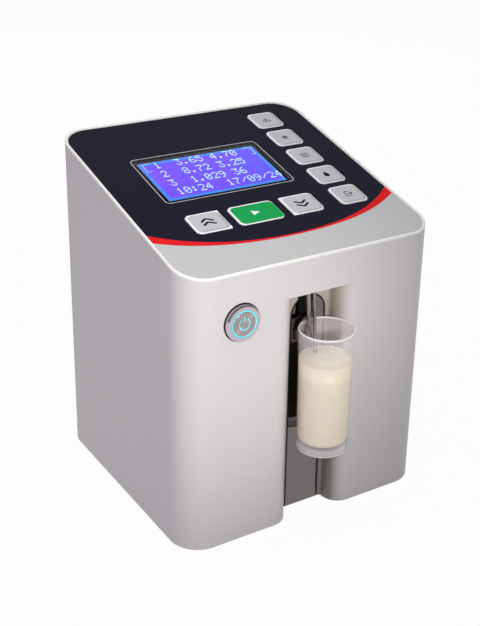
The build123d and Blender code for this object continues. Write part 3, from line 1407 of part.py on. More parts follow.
def inner_pieces():
    """Boards, measuring cell, pump and hoses."""
    pieces = {
        "main_board": main_board(), "board_parts": board_parts(), "board_standoffs": board_standoffs(),
        "inner_screws": board_screws() + cell_screws() + pump_screws(), "measuring_cell": measuring_cell(),
        "transducers": transducers(), "cell_heater": cell_heater(), "cell_bracket": cell_bracket(),
        "pump_head": pump_head(), "pump_cover": pump_cover(), "pump_bracket": pump_bracket(),
        "pump_motor": pump_motor(), "pump_rotor": pump_rotor(), "pump_tube": pump_tube(),
        "hose_joiners": hose_joiners(), "hoses": [suction_hose(), pump_hose(), return_hose()],
    }
    for i in range(ROLLER_COUNT):
        pieces["pump_roller_" + str(i + 1)] = pump_roller(i)
    return pieces


def write_parts():
    """Move every piece onto the analyzer's own origin and write it."""
    front = CUP_Y - CUP_RIM_R
    back = BODY_D / 2 + PH_HEX_T + PH_BARREL_L
    home = Pos(0, -(front + back) / 2, FOOT_H)
    os.makedirs("parts", exist_ok=True)
    pieces = {**case_pieces(), **panel_pieces(), **bay_pieces(), **inner_pieces()}
    for name, piece in pieces.items():
        group = piece if isinstance(piece, list) else [piece]
        solids = [solid for member in group for solid in member.solids()]
        shape = solids[0] if len(solids) == 1 else Compound(solids)
        export_step(home * shape, "parts/" + name + ".step")
    print("pieces", len(pieces), "origin moved by", home.position)


write_parts()
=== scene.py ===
# %% [markdown]
# A bench milk analyzer, dressed for a photograph.
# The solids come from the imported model, already at their real size, so this script only
# lights them, gives them their finishes and adds what is too fine for them: print, display
# dots, key marks, the rolled lip of the cup and the milk's meniscus.

# %% Load the frame
import json
from math import atan2, cos, pi, radians, sin

import bmesh
import bpy
from mathutils import Matrix, Vector


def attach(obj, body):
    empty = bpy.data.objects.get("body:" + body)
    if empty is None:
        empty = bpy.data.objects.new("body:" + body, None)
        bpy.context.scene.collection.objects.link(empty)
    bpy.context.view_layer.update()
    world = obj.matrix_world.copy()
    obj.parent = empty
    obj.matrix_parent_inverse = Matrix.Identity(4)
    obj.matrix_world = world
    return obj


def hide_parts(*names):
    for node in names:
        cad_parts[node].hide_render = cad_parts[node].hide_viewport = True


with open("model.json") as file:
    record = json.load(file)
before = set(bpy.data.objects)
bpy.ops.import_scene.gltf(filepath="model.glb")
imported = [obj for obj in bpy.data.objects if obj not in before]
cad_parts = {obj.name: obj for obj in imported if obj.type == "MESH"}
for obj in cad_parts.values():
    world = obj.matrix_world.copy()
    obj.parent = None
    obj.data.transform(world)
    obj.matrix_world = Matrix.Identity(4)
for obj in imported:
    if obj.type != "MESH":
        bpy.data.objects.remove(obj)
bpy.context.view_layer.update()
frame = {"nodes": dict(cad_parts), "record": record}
MM = 0.001
MM_PER_M = 1000.0

# %% [markdown]
# The camera stands at the left front, a little above the rim. It could be placed by eye, but
# its place, turn and lens were fitted to the object's edges, so that they fall where the
# photograph has them. The lens is long, so the upright edges stay nearly parallel, and a small
# shift keeps them so while the object sits mid-frame.

# %% Camera
SENSOR_MM = 36.0
LENS_MM = 65.963
SHIFT_Y = -0.1006
CLIP_START_M = 0.01
CAMERA_AT = Vector((-0.307116, -0.485167, 0.363353))
YAW, PITCH, ROLL = 0.5589832, 0.3843167, -0.0167702


def camera_matrix():
    """World matrix from where the camera stands and how it is turned."""
    forward = Vector((sin(YAW) * cos(PITCH), cos(YAW) * cos(PITCH), -sin(PITCH)))
    right = Vector((cos(YAW), -sin(YAW), 0.0))
    down = forward.cross(right)
    right, down = cos(ROLL) * right + sin(ROLL) * down, cos(ROLL) * down - sin(ROLL) * right
    axes = Matrix((right, -down, -forward)).transposed()
    return Matrix.Translation(CAMERA_AT) @ axes.to_4x4()


camera_data = bpy.data.cameras.new("studio_camera")
camera_data.sensor_width = SENSOR_MM
camera_data.lens = LENS_MM
camera_data.shift_y = SHIFT_Y
camera_data.clip_start = CLIP_START_M
camera = bpy.data.objects.new("studio_camera", camera_data)
camera.matrix_world = camera_matrix()
bpy.context.scene.collection.objects.link(camera)
bpy.context.scene.camera = camera
bpy.context.scene.view_settings.view_transform = "Standard"
print("camera", [round(c, 3) for c in CAMERA_AT])

# %% [markdown]
# Shader trees are long to write out node by node, so a small helper keeps them readable:
# it adds a node, sets its plain values and joins its inputs to other sockets in one call.

# %% Shader helpers


def to_linear(*rgb):
    """Colour as a screen shows it, 0 to 255, turned into the linear values that shaders use."""
    out = []
    for channel in rgb:
        c = channel / 255.0
        out.append(c / 12.92 if c <= 0.04045 else ((c + 0.055) / 1.055) ** 2.4)
    return (*out, 1.0)


class Tree:
    """Adds and joins nodes in one node tree."""

    def __init__(self, tree):
        self.tree = tree

    def feed(self, node, inputs):
        """Set a node's inputs, each to a plain value or to another node's socket."""
        for key, value in inputs.items():
            if isinstance(value, bpy.types.NodeSocket):
                self.tree.links.new(value, node.inputs[key])
            else:
                node.inputs[key].default_value = value

    def add(self, kind, inputs=None, **settings):
        """A new node with its settings and its inputs."""
        node = self.tree.nodes.new(kind)
        for key, value in settings.items():
            setattr(node, key, value)
        self.feed(node, inputs or {})
        return node

    def math(self, operation, a, b=0.0, c=None):
        """Output of one Math node."""
        inputs = {0: a, 1: b}
        if c is not None:
            inputs[2] = c
        return self.add("ShaderNodeMath", inputs, operation=operation).outputs[0]

    def length(self, a, b):
        """Distance from nought of a point with these two coordinates."""
        squares = self.math("ADD", self.math("MULTIPLY", a, a), self.math("MULTIPLY", b, b))
        return self.math("SQRT", squares)

    def sway(self, noise, spread, middle):
        """Middle value, moved up and down by a noise."""
        return self.math("MULTIPLY_ADD", self.math("SUBTRACT", noise, 0.5), spread, middle)

    def mix(self, factor, a, b):
        """Colour a where the factor is 0 and b where it is 1."""
        node = self.add("ShaderNodeMix", {0: factor, 6: a, 7: b}, data_type="RGBA")
        return node.outputs[2]

    def ramp(self, value, low, high, out_low=0.0, out_high=1.0):
        """Value mapped from one range to another and clamped."""
        inputs = {0: value, 1: low, 2: high, 3: out_low, 4: out_high}
        return self.add("ShaderNodeMapRange", inputs).outputs[0]

    def noise(self, vector, scale, detail=2.0, roughness=0.5):
        """Noise value, scale in waves per metre."""
        inputs = {"Vector": vector, "Scale": scale, "Detail": detail, "Roughness": roughness}
        return self.add("ShaderNodeTexNoise", inputs).outputs[0]

    def place(self):
        """Place in the object's own coordinates, in metres."""
        return self.add("ShaderNodeTexCoord").outputs["Object"]

    def place_mm(self):
        """The same place as three values in millimetres."""
        xyz = self.add("ShaderNodeSeparateXYZ", {0: self.place()})
        return [self.math("MULTIPLY", axis, MM_PER_M) for axis in xyz.outputs]

    def group(self, name, inputs=None):
        """One of the shared effects, with its values."""
        return self.add("ShaderNodeGroup", inputs, node_tree=bpy.data.node_groups[name])


def new_group(name, inputs, outputs):
    """Empty node group: returns its Tree, the sockets that it is given and its last node."""
    tree = bpy.data.node_groups.new(name, "ShaderNodeTree")
    for label, kind, default in inputs:
        socket = tree.interface.new_socket(label, in_out="INPUT", socket_type=kind)
        socket.default_value = default
    for label, kind in outputs:
        tree.interface.new_socket(label, in_out="OUTPUT", socket_type=kind)
    given, result = tree.nodes.new("NodeGroupInput"), tree.nodes.new("NodeGroupOutput")
    return Tree(tree), given.outputs, result


FLOAT, COLOUR, NORMAL = "NodeSocketFloat", "NodeSocketColor", "NodeSocketVector"
print("middle grey in linear light", round(to_linear(128)[0], 3))

# %% [markdown]
# Moulded and lacquered plastic is never quite even: it has a fine grain that breaks up
# highlights, a faint cloudiness in its colour, and a little dust. A picture of a surface could
# show them, but noise has no seams and keeps its real scale on every piece. One group gives all
# three, and every plastic takes it with its own strengths.

# %% Group: moulded skin
CLOUD_WAVES, CLOUD_ROUGH = 26.0, 0.12
GRAIN_SHARE, GRAIN_BUMP_M = 0.8, 0.0002

t, given, result = new_group(
    "moulded skin",
    [("Colour", COLOUR, (0.5, 0.5, 0.5, 1)), ("Grain mm", FLOAT, 0.35), ("Cloud", FLOAT, 0.03),
     ("Rough", FLOAT, 0.4), ("Depth", FLOAT, 0.05)],
    [("Colour", COLOUR), ("Roughness", FLOAT), ("Normal", NORMAL)])
place = t.place()
grain = t.noise(place, t.math("DIVIDE", MM_PER_M, given["Grain mm"]), detail=3.0, roughness=0.6)
cloud = t.noise(place, CLOUD_WAVES, detail=3.0, roughness=0.55)
shade = t.sway(cloud, given["Cloud"], 1.0)
shade = t.sway(grain, t.math("MULTIPLY", given["Cloud"], GRAIN_SHARE), shade)
tint = t.add("ShaderNodeVectorMath", {0: given["Colour"], "Scale": shade}, operation="SCALE")
bump = t.add("ShaderNodeBump", {"Strength": given["Depth"], "Distance": GRAIN_BUMP_M,
                                "Height": grain})
t.feed(result, {"Colour": tint.outputs[0], "Roughness": t.sway(cloud, CLOUD_ROUGH, given["Rough"]),
                "Normal": bump.outputs[0]})
print("group", t.tree.name)

# %% [markdown]
# Brushed and drawn metal carries long fine lines. Stretching noise along one axis makes them:
# the group takes how far to squeeze the place in each direction, so that the same lines can
# run up a plate, along a tube or round a turned cap.

# %% Group: drawn lines
LINE_BUMP_M = 0.0001

t, given, result = new_group(
    "drawn lines",
    [("Squeeze", NORMAL, (1.0, 1.0, 0.03)), ("Lines per m", FLOAT, 2500.0), ("Rough", FLOAT, 0.2),
     ("Spread", FLOAT, 0.12), ("Depth", FLOAT, 0.06)],
    [("Roughness", FLOAT), ("Normal", NORMAL), ("Lines", FLOAT)])
squeezed = t.add("ShaderNodeVectorMath", {0: t.place(), 1: given["Squeeze"]}, operation="MULTIPLY")
lines = t.noise(squeezed.outputs[0], given["Lines per m"], detail=4.0, roughness=0.65)
bump = t.add("ShaderNodeBump", {"Strength": given["Depth"], "Distance": LINE_BUMP_M,
                                "Height": lines})
t.feed(result, {"Roughness": t.sway(lines, given["Spread"], given["Rough"]),
                "Normal": bump.outputs[0], "Lines": lines})
print("group", t.tree.name)

# %% [markdown]
# The sloped panel has its own flat coordinates, across and up the slope, in millimetres. The
# print, the window's border and the keys are all placed in them, since in the object's own axes
# each edge would need both depth and height. They start where the panel meets the housing's
# front.

# %% Group: panel place
PANEL_RISE, PANEL_RUN = 36.0, 144.2
SLOPE = atan2(PANEL_RISE, PANEL_RUN)
FRONT_Y = -67.525
PANEL_Y, PANEL_Z = FRONT_Y, 152.5

t, given, result = new_group("panel place", [], [("Across", FLOAT), ("Up", FLOAT)])
x_mm, y_mm, z_mm = t.place_mm()
y_mm, z_mm = t.math("SUBTRACT", y_mm, PANEL_Y), t.math("SUBTRACT", z_mm, PANEL_Z)
up_mm = t.math("MULTIPLY_ADD", z_mm, sin(SLOPE), t.math("MULTIPLY", y_mm, cos(SLOPE)))
t.feed(result, {"Across": x_mm, "Up": up_mm})


def panel_matrix(x, v, depth):
    """Place on the panel, in metres: x across, y up the slope, z out of it."""
    out = Vector((0.0, -sin(SLOPE), cos(SLOPE)))
    up = Vector((0.0, cos(SLOPE), sin(SLOPE)))
    at = Vector((x, PANEL_Y, PANEL_Z)) + up * v - out * depth
    axes = Matrix((Vector((1, 0, 0)), up, out)).transposed()
    return Matrix.Translation(at * MM) @ axes.to_4x4()


print("group", t.tree.name, "slope", round(SLOPE, 4))

# %% [markdown]
# The edges of the red band sag in a wide arc that a circle doesn't quite follow. The print
# could be cut into the sheet's mesh, but a distance measured in the shader keeps the solid as it
# is and the edge sharp from near. This group says how far a point is below such a curve.

# %% Group: below a sagging curve
t, given, result = new_group(
    "below curve",
    [("Across", FLOAT, 0), ("Up", FLOAT, 0), ("Middle", FLOAT, 0), ("Lowest", FLOAT, 0),
     ("Square", FLOAT, 0), ("Fourth", FLOAT, 0)],
    [("Below", FLOAT)])
aside = t.math("SUBTRACT", given["Across"], given["Middle"])
square = t.math("MULTIPLY", aside, aside)
rise = t.math("MULTIPLY_ADD", square, given["Square"], given["Lowest"])
rise = t.math("MULTIPLY_ADD", t.math("MULTIPLY", square, square), given["Fourth"], rise)
t.feed(result, {"Below": t.math("SUBTRACT", rise, given["Up"])})
print("group", t.tree.name)

# %% [markdown]
# Window, display and keys are rounded rectangles. In the same way, this group says how far a
# point is outside one: nought on its outline, and less than nought inside.

# %% Group: outside a rounded rectangle
t, given, result = new_group(
    "rounded box reach",
    [("Across", FLOAT, 0), ("Up", FLOAT, 0), ("Middle across", FLOAT, 0), ("Middle up", FLOAT, 0),
     ("Half width", FLOAT, 1), ("Half height", FLOAT, 1), ("Corner", FLOAT, 0.5)],
    [("Outside", FLOAT)])
sides = []
for along, middle, half in (("Across", "Middle across", "Half width"),
                            ("Up", "Middle up", "Half height")):
    away = t.math("ABSOLUTE", t.math("SUBTRACT", given[along], given[middle]))
    sides.append(t.math("ADD", t.math("SUBTRACT", away, given[half]), given["Corner"]))
corner = t.length(*[t.math("MAXIMUM", side, 0.0) for side in sides])
inner = t.math("MINIMUM", t.math("MAXIMUM", *sides), 0.0)
t.feed(result, {"Outside": t.math("SUBTRACT", t.math("ADD", corner, inner), given["Corner"])})
print("group", t.tree.name)

# %% [markdown]
# Each finish is one Principled BSDF rather than a mix of several shaders, because one shader
# can be carried over to other programs whole. Numbers that are the same all over, such as the
# index of refraction, are set on the shader itself, and the groups only feed what varies.

# %% Finish helpers


def finish(name, **plain):
    """New material with one Principled BSDF: returns the material, its Tree and the shader."""
    material = bpy.data.materials.new(name)
    material.use_nodes = True
    shader = material.node_tree.nodes["Principled BSDF"]
    for key, value in plain.items():
        shader.inputs[key.replace("_", " ")].default_value = value
    return material, Tree(material.node_tree), shader


def put_skin(tree, shader, colour, grain, cloud, rough, depth):
    """The moulded skin over a plain or a drawn colour."""
    group = tree.group("moulded skin", {"Colour": colour, "Grain mm": grain, "Cloud": cloud,
                                        "Rough": rough, "Depth": depth})
    tree.feed(shader, {"Base Color": group.outputs["Colour"], "Normal": group.outputs["Normal"],
                       "Roughness": group.outputs["Roughness"]})


def skin(name, rgb, rough, grain=0.35, cloud=0.03, depth=0.05, **plain):
    """Moulded plastic, lacquer or rubber in one colour."""
    material, tree, shader = finish(name, **plain)
    put_skin(tree, shader, to_linear(*rgb), grain, cloud, rough, depth)
    return material


def clear(name, rgb, rough, ior=1.49):
    """Clear plastic that light goes through."""
    return skin(name, rgb, rough, grain=0.5, cloud=0.01, depth=0.02,
                Transmission_Weight=1.0, IOR=ior)


def metal(name, rgb, rough, squeeze=(1.0, 1.0, 0.03), lines=2500.0, spread=0.12, depth=0.06,
          contrast=14, **plain):
    """Metal with drawn lines along one direction, lighter in colour by the contrast along some
    lines; a large contrast is painted reflection.
    """
    material, tree, shader = finish(name, Metallic=1.0, **plain)
    group = tree.group("drawn lines", {"Squeeze": squeeze, "Lines per m": lines, "Rough": rough,
                                       "Spread": spread, "Depth": depth})
    low, high = to_linear(*rgb), to_linear(*[min(255, c + contrast) for c in rgb])
    tree.feed(shader, {"Base Color": tree.mix(group.outputs["Lines"], low, high),
                       "Roughness": group.outputs["Roughness"],
                       "Normal": group.outputs["Normal"]})
    return material


print("finish makers", [maker.__name__ for maker in (skin, clear, metal)])

# %% [markdown]
# Most pieces inside and behind have a plain finish: plated steel, rubber, solder mask, silicone.
# A bare colour would do at a distance, but each material slot of the solids gets the grain and
# gloss of the real stuff, so that the pieces also look right alone.

# %% Plain finishes
FINISHES = {
    "tinned_steel": metal("tinned steel", (200, 200, 200), 0.32),
    "board_green": skin("solder mask", (20, 100, 58), 0.3, grain=0.8, cloud=0.25),
    "black_plastic": skin("black plastic", (8, 7, 7), 0.45, grain=0.3, cloud=0.2,
                          Specular_IOR_Level=0.12),
    "polished_steel": metal("polished steel", (104, 97, 98), 0.07, spread=0.06, depth=0.03),
    "screw_steel": metal("zinc plated steel", (188, 190, 196), 0.28, squeeze=(1.0, 1.0, 1.0)),
    "rubber_black": skin("foot rubber", (24, 24, 25), 0.75, grain=0.25, cloud=0.3, depth=0.25),
    "aluminium_plain": metal("satin aluminium", (190, 191, 194), 0.38, squeeze=(0.03, 1.0, 1.0)),
    "brass_plain": metal("turned brass", (205, 170, 95), 0.25),
    "hose_silicone": skin("silicone hose", (226, 226, 220), 0.4, cloud=0.05,
                          Subsurface_Weight=0.2),
    "pump_clear": clear("pump cover acrylic", (245, 248, 250), 0.05),
    "ribbon_grey": skin("ribbon cable", (165, 165, 168), 0.5),
    "heater_amber": skin("amber film heater", (190, 118, 30), 0.3, cloud=0.15),
    "window_clear": clear("window acrylic", (255, 255, 255), 0.02, ior=1.18),
}
print("plain finishes", len(FINISHES))

# %% [markdown]
# The bay's walls carry painted shade: their colour falls from silver at the rounded mouth to a
# warm grey at the back, and high up it stays lighter. Shadow alone would leave them too pale,
# because a white room shines in, so the shade is painted in the colour. It follows how deep a
# point lies, and only inside the bay.

# %% Painted shade in the bay
HOUSING_SILVER = (222, 217, 217)
# Greys of the painted shade in the bay, deep down and high up
BAY_PAINTED_SHADE, BAY_PAINTED_SHADE_HIGH = (138, 131, 124), (196, 186, 174)
BAY_MIDDLE, BAY_HALF, BAY_ROOF = 2.0, 14.2, 133.4
MOUTH_WIDE, MOUTH_NARROW = BAY_HALF + 11.0, BAY_HALF + 1.0
SHADE_STARTS, SHADE_FULL, BAY_ENDS = FRONT_Y + 0.2, FRONT_Y + 5.0, FRONT_Y + 14.0
HIGH_STARTS, HIGH_FULL = 100.0, 128.0

material, tree, shader = finish("lacquered silver plastic with painted bay shade")
x_mm, y_mm, z_mm = tree.place_mm()
aside = tree.math("ABSOLUTE", tree.math("SUBTRACT", x_mm, BAY_MIDDLE))
within = tree.math("MULTIPLY", tree.math("LESS_THAN", z_mm, BAY_ROOF),
                   tree.ramp(aside, MOUTH_WIDE, MOUTH_NARROW))
within = tree.math("MULTIPLY", within, tree.math("LESS_THAN", y_mm, BAY_ENDS))
deep = tree.ramp(y_mm, SHADE_STARTS, SHADE_FULL)
# painted shade: the bay's walls darken with depth and stay lighter high up
bay_painted_shade = tree.mix(tree.ramp(z_mm, HIGH_STARTS, HIGH_FULL), to_linear(*BAY_PAINTED_SHADE),
                    to_linear(*BAY_PAINTED_SHADE_HIGH))
shade = tree.mix(tree.math("MULTIPLY", within, deep), to_linear(*HOUSING_SILVER), bay_painted_shade)
put_skin(tree, shader, shade, grain=0.30, cloud=0.05, rough=0.42, depth=0.10)
FINISHES["housing_silver"] = material
print(material.name, len(material.node_tree.nodes), "nodes")

# %% [markdown]
# The print is flat ink, so the whole drawing is measured in the shader and no piece of geometry
# stands for a printed edge. Four helpers ask the same questions everywhere: which side of an
# edge, inside a band, below a curve, or outside a rounded rectangle.

# %% Print helpers
EDGE_BLUR = 0.08


def soft_step(tree, value, edge=0.0, low=0.0, high=1.0):
    """Low below an edge and high above it, blurred by less than a printer's dot."""
    return tree.ramp(value, edge - EDGE_BLUR, edge + EDGE_BLUR, low, high)


def band(tree, value, rise, fall):
    """1 between two edges, each given by where its fade starts and ends."""
    return tree.math("MULTIPLY", tree.ramp(value, *rise), tree.ramp(value, *fall, 1.0, 0.0))


def below_curve(tree, place, curve):
    """How far a point lies below one of the red band's edges."""
    at = {key: place.outputs[key] for key in ("Across", "Up")}
    return tree.group("below curve", {**curve, **at}).outputs[0]


def box_outside(tree, place, middle, half, corner):
    """How far a point lies outside a rounded rectangle on the panel."""
    inputs = {"Across": place.outputs["Across"], "Up": place.outputs["Up"], "Corner": corner,
              "Middle across": middle[0], "Middle up": middle[1],
              "Half width": half[0], "Half height": half[1]}
    return tree.group("rounded box reach", inputs).outputs[0]


print("edge blur", EDGE_BLUR, "mm")

# %% [markdown]
# The printed sheet is a dark navy field, a red band between two wide arcs with a thin pale line
# under it, and a grey foot. A thin pale border runs round the window. Each colour is mixed over
# the one before it where a measured distance passes its edge, as inks are printed in turn.

# %% Printed sheet
FIELD_NAVY = to_linear(24, 24, 39)
BAND_RED = to_linear(226, 31, 37)
FOOT_GREY = to_linear(194, 194, 194)
LINE_PALE = to_linear(150, 190, 190)
BORDER_PALE = to_linear(205, 205, 212)
NAVY_CURVE = {"Middle": -0.9, "Lowest": 21.2, "Square": 2.843e-3, "Fourth": 2.51e-7}
RED_CURVE = {"Middle": -1.4, "Lowest": 20.0, "Square": 2.082e-3, "Fourth": 2.01e-7}
PALE_LINE_W = 0.25
WINDOW_AT = (-10.9, 87.2)
WINDOW_HALF, WINDOW_R = (38.65, 21.7), 2.5
BORDER_RISE, BORDER_FALL = (0.1, 0.2), (0.5, 0.62)

material, tree, shader = finish("printed sheet", Specular_IOR_Level=0.04)
place = tree.group("panel place")
navy_out = below_curve(tree, place, NAVY_CURVE)
red_out = below_curve(tree, place, RED_CURVE)
window_out = box_outside(tree, place, WINDOW_AT, WINDOW_HALF, WINDOW_R)
colour = tree.mix(soft_step(tree, navy_out), FIELD_NAVY, BAND_RED)
colour = tree.mix(soft_step(tree, red_out), colour, LINE_PALE)
colour = tree.mix(soft_step(tree, red_out, PALE_LINE_W), colour, FOOT_GREY)
colour = tree.mix(band(tree, window_out, BORDER_RISE, BORDER_FALL), colour, BORDER_PALE)
put_skin(tree, shader, colour, grain=0.25, cloud=0.03, rough=0.45, depth=0.03)
FINISHES["overlay_print"] = material
print(material.name, len(material.node_tree.nodes), "nodes")

# %% [markdown]
# The top cover is one off-white moulding. Under the window its ledge is printed matt black,
# which frames the display. Two materials would need a cut in its mesh, so one material changes
# colour and shine at the window's outline.

# %% Top cover
LEDGE_BLACK, COVER_WHITE = to_linear(6, 6, 8), to_linear(240, 240, 233)
LEDGE_HALF, LEDGE_R = [half + 0.2 for half in WINDOW_HALF], 2.6
LEDGE_SHINE, COVER_SHINE = 0.02, 0.5

material, tree, shader = finish("off-white cover with black ledge")
ledge_out = box_outside(tree, tree.group("panel place"), WINDOW_AT, LEDGE_HALF, LEDGE_R)
colour = tree.mix(soft_step(tree, ledge_out), LEDGE_BLACK, COVER_WHITE)
put_skin(tree, shader, colour, grain=0.4, cloud=0.02, rough=0.34, depth=0.04)
shine = soft_step(tree, ledge_out, 0.0, LEDGE_SHINE, COVER_SHINE)
tree.feed(shader, {"Specular IOR Level": shine})
FINISHES["rim_white"] = material
print(material.name, len(material.node_tree.nodes), "nodes")

# %% [markdown]
# The display is a lit blue panel that is a little brighter and bluer near its edges, where the
# lamps sit. Its light comes from Emission, so it glows evenly from any side.

# %% Display
VIEW_HALF, VIEW_R = (35.85, 18.75), 0.4
GLOW_WAVES = 38.0
NOISE_RANGE = (0.35, 0.65)  # most of a noise's values lie between these
GLOW_DEEP, GLOW_VIOLET = to_linear(80, 50, 250), to_linear(112, 50, 244)
GLOW_EDGE, DISPLAY_RIM = to_linear(0, 132, 255), to_linear(8, 8, 12)
EDGE_GLOW_STARTS, EDGE_GLOW_FULL, RIM_STARTS = -2.6, -1.3, -0.05

material, tree, shader = finish("backlit display", Specular_IOR_Level=0.1, Emission_Strength=1.0,
                                Base_Color=(0.01, 0.01, 0.02, 1))
edge = box_outside(tree, tree.group("panel place"), WINDOW_AT, VIEW_HALF, VIEW_R)
cloud = tree.noise(tree.place(), GLOW_WAVES, detail=1.0, roughness=0.4)
glow = tree.mix(tree.ramp(cloud, *NOISE_RANGE), GLOW_DEEP, GLOW_VIOLET)
glow = tree.mix(tree.ramp(edge, EDGE_GLOW_STARTS, EDGE_GLOW_FULL), glow, GLOW_EDGE)
glow = tree.mix(soft_step(tree, edge, RIM_STARTS), glow, DISPLAY_RIM)
group = tree.group("moulded skin", {"Grain mm": 0.5, "Cloud": 0.0, "Rough": 0.3, "Depth": 0.0})
tree.feed(shader, {"Emission Color": glow, "Roughness": group.outputs["Roughness"]})
FINISHES["display_blue"] = material
print(material.name, len(material.node_tree.nodes), "nodes")

# %% [markdown]
# Keys are caps of embossed film. A pale edge runs round each, partly the film's own pale rim
# and partly painted highlight, which makes it widest on the left and upper sides. A dark hairline
# inside the right and lower edges is painted shade. Both are finer than the solid's own rounding,
# so they are drawn in the shader. Each key gets the same finish with its own middle and size.

# %% Keys
KEY_X, KEY_LOW, KEY_PITCH, KEY_W = 48.0, 43.8, 21.1, 17.3
KEYS = {name: (KEY_X, KEY_LOW + i * KEY_PITCH, KEY_W)
        for i, name in enumerate(("exit", "ph", "menu", "clean", "save"))}
KEYS.update({"up": (-38.4, 43.5, 19.6), "enter": (-10.2, 43.5, 26.7), "down": (18.0, 43.5, 19.6)})
KEY_H, KEY_R = 16.5, 3.0
KEY_GREY, KEY_GREEN = to_linear(193, 193, 195), to_linear(0, 158, 76)
# Colours of the painted highlight on the keys' edges and the painted shade of their hairlines
KEY_HIGHLIGHT, HAIRLINE_SHADE = to_linear(246, 246, 246), to_linear(52, 52, 60)
EDGE_SHIFT, EDGE_FADE = 0.375, (-0.42, -0.12)
LINE_SHIFT, LINE_IN, LINE_R = 0.35, 0.95, KEY_R - 0.8
LINE_RISE, LINE_FALL, LINE_TURN, LINE_SHARE = (-0.16, -0.04), (0.10, 0.24), (0.5, 3.0), 0.8


def painted_shade_hairline(tree, place, x, v, half):
    """Mask of the painted shade line inside a key's right and lower edges."""
    inset = box_outside(tree, place, (x - LINE_SHIFT, v + LINE_SHIFT),
                        [side - LINE_IN for side in half], LINE_R)
    line = band(tree, inset, LINE_RISE, LINE_FALL)
    aside = tree.math("SUBTRACT", place.outputs["Across"], x)
    lift = tree.math("SUBTRACT", place.outputs["Up"], v)
    low_right = tree.math("SUBTRACT", tree.math("MULTIPLY", aside, half[1] / half[0]), lift)
    line = tree.math("MULTIPLY", line, tree.ramp(low_right, *LINE_TURN))
    return tree.math("MULTIPLY", line, LINE_SHARE)


def key_finish(name, x, v, width):
    """Film of one key, with its painted highlight, and painted shade on all keys but enter."""
    material, tree, shader = finish("key film " + name, Specular_IOR_Level=0.12)
    place = tree.group("panel place")
    half = (width / 2, KEY_H / 2)
    highlight_reach = box_outside(tree, place, (x + EDGE_SHIFT, v - EDGE_SHIFT),
                         [side - EDGE_SHIFT for side in half], KEY_R)
    film = KEY_GREEN if name == "enter" else KEY_GREY
    # painted highlight: a pale edge round the key, widest on the left and upper sides
    colour = tree.mix(tree.ramp(highlight_reach, *EDGE_FADE), film, KEY_HIGHLIGHT)
    # painted shade, on all keys but enter: a dark hairline inside the right and lower edges
    if name != "enter":
        colour = tree.mix(painted_shade_hairline(tree, place, x, v, half), colour, HAIRLINE_SHADE)
    put_skin(tree, shader, colour, grain=0.3, cloud=0.02, rough=0.4, depth=0.03)
    return material


KEY_FINISH = {"key_" + name: key_finish(name, *where) for name, where in KEYS.items()}
print("keys", len(KEY_FINISH))

# %% [markdown]
# The lit ring of the push button gives its own light too. It is dimmer where the light guide
# is far from its lamps, and its outer edge is dark under the bezel.

# %% Light ring
BUTTON_X, BUTTON_Z = -44.3, 126.8
RING_LIT_R, RING_FADE = 6.95, 0.1
RING_WAVES = 160.0
RING_DIM, RING_BRIGHT = to_linear(60, 196, 205), to_linear(128, 232, 236)
RING_DARK, RING_BODY = to_linear(96, 84, 92), to_linear(60, 150, 155)

material, tree, shader = finish("lit ring", Emission_Strength=1.0, Specular_IOR_Level=0.3,
                                Base_Color=RING_BODY)
x_mm, y_mm, z_mm = tree.place_mm()
reach = tree.length(tree.math("SUBTRACT", x_mm, BUTTON_X), tree.math("SUBTRACT", z_mm, BUTTON_Z))
noise = tree.noise(tree.place(), RING_WAVES, detail=1.0)
glow = tree.mix(tree.ramp(noise, *NOISE_RANGE), RING_DIM, RING_BRIGHT)
glow = tree.mix(tree.ramp(reach, RING_LIT_R - RING_FADE, RING_LIT_R + RING_FADE), glow, RING_DARK)
tree.feed(shader, {"Emission Color": glow})
FINISHES["light_ring"] = material
print(material.name, len(material.node_tree.nodes), "nodes")

# %% [markdown]
# The button's bezel is bright nickel. Its cap is turned, so fine rings run round it and the
# lamps stretch into one streak from top to bottom: the shader's own anisotropy does that, with
# a tangent that circles the button's axis.

# %% Bezel and turned cap
BEZEL = metal("bright nickel", (190, 180, 187), 0.10, spread=0.05, depth=0.02)
CAP = metal("turned cap", (166, 152, 152), 0.30, squeeze=(1.0, 1.0, 1.0), spread=0.08, depth=0.05,
            Anisotropic=0.85)
turned = Tree(CAP.node_tree)
tangent = turned.add("ShaderNodeTangent", direction_type="RADIAL", axis="Y")
turned.feed(CAP.node_tree.nodes["Principled BSDF"], {"Tangent": tangent.outputs[0]})
FINISHES["brushed_cap"] = CAP
print("button", BEZEL.name, CAP.name)

# %% [markdown]
# Three more pieces differ from the rest of their slot. The display's frame is painted black.
# The sample tubes are drawn steel, and the dark and bright streaks along them are painted
# reflections: plain polished steel would show them only in a dark room, so here they are in the
# metal's colour.

# %% Tubes and frame
# painted reflections: dark and bright streaks along the tubes, in their colour
TUBE = metal("steel tube with painted reflections", (66, 56, 50), 0.09, lines=1100.0, spread=0.10, depth=0.05,
             contrast=120)
FRAME = skin("black painted steel", (8, 8, 10), 0.6, Specular_IOR_Level=0.03)
BY_NODE = {"power_button_body": BEZEL, "display_frame": FRAME, "suction_tube": TUBE,
           "return_tube": TUBE, **KEY_FINISH}
print("finished by node", sorted(BY_NODE))

# %% [markdown]
# The cup is polystyrene, clear but slightly frosted, so light scatters on its walls. Glass-like
# transmission would bend a white room into so thin a wall and hide the milk. Instead Alpha lets
# the milk show straight through a veil of frost, which is strongest at the lip and the foot, and
# thin where milk wets it.

# %% Cup plastic
CUP_AT, CUP_H = Vector((2.0, -73.425, 48.0)), 66.8
WET_VEIL, DRY_VEIL, SKIRT_VEIL, LIP_VEIL = 0.15, 0.28, 0.40, 0.92
SKIRT_FADE, DRY_FADE, FOOT_FADE = (4.9, 3.4), (48.0, 60.0), (0.9, 0.5)
LIP_FADE = (CUP_H - 1.1, CUP_H - 0.7)
FROST_WAVES, FROST_SPREAD = 900.0, 0.05

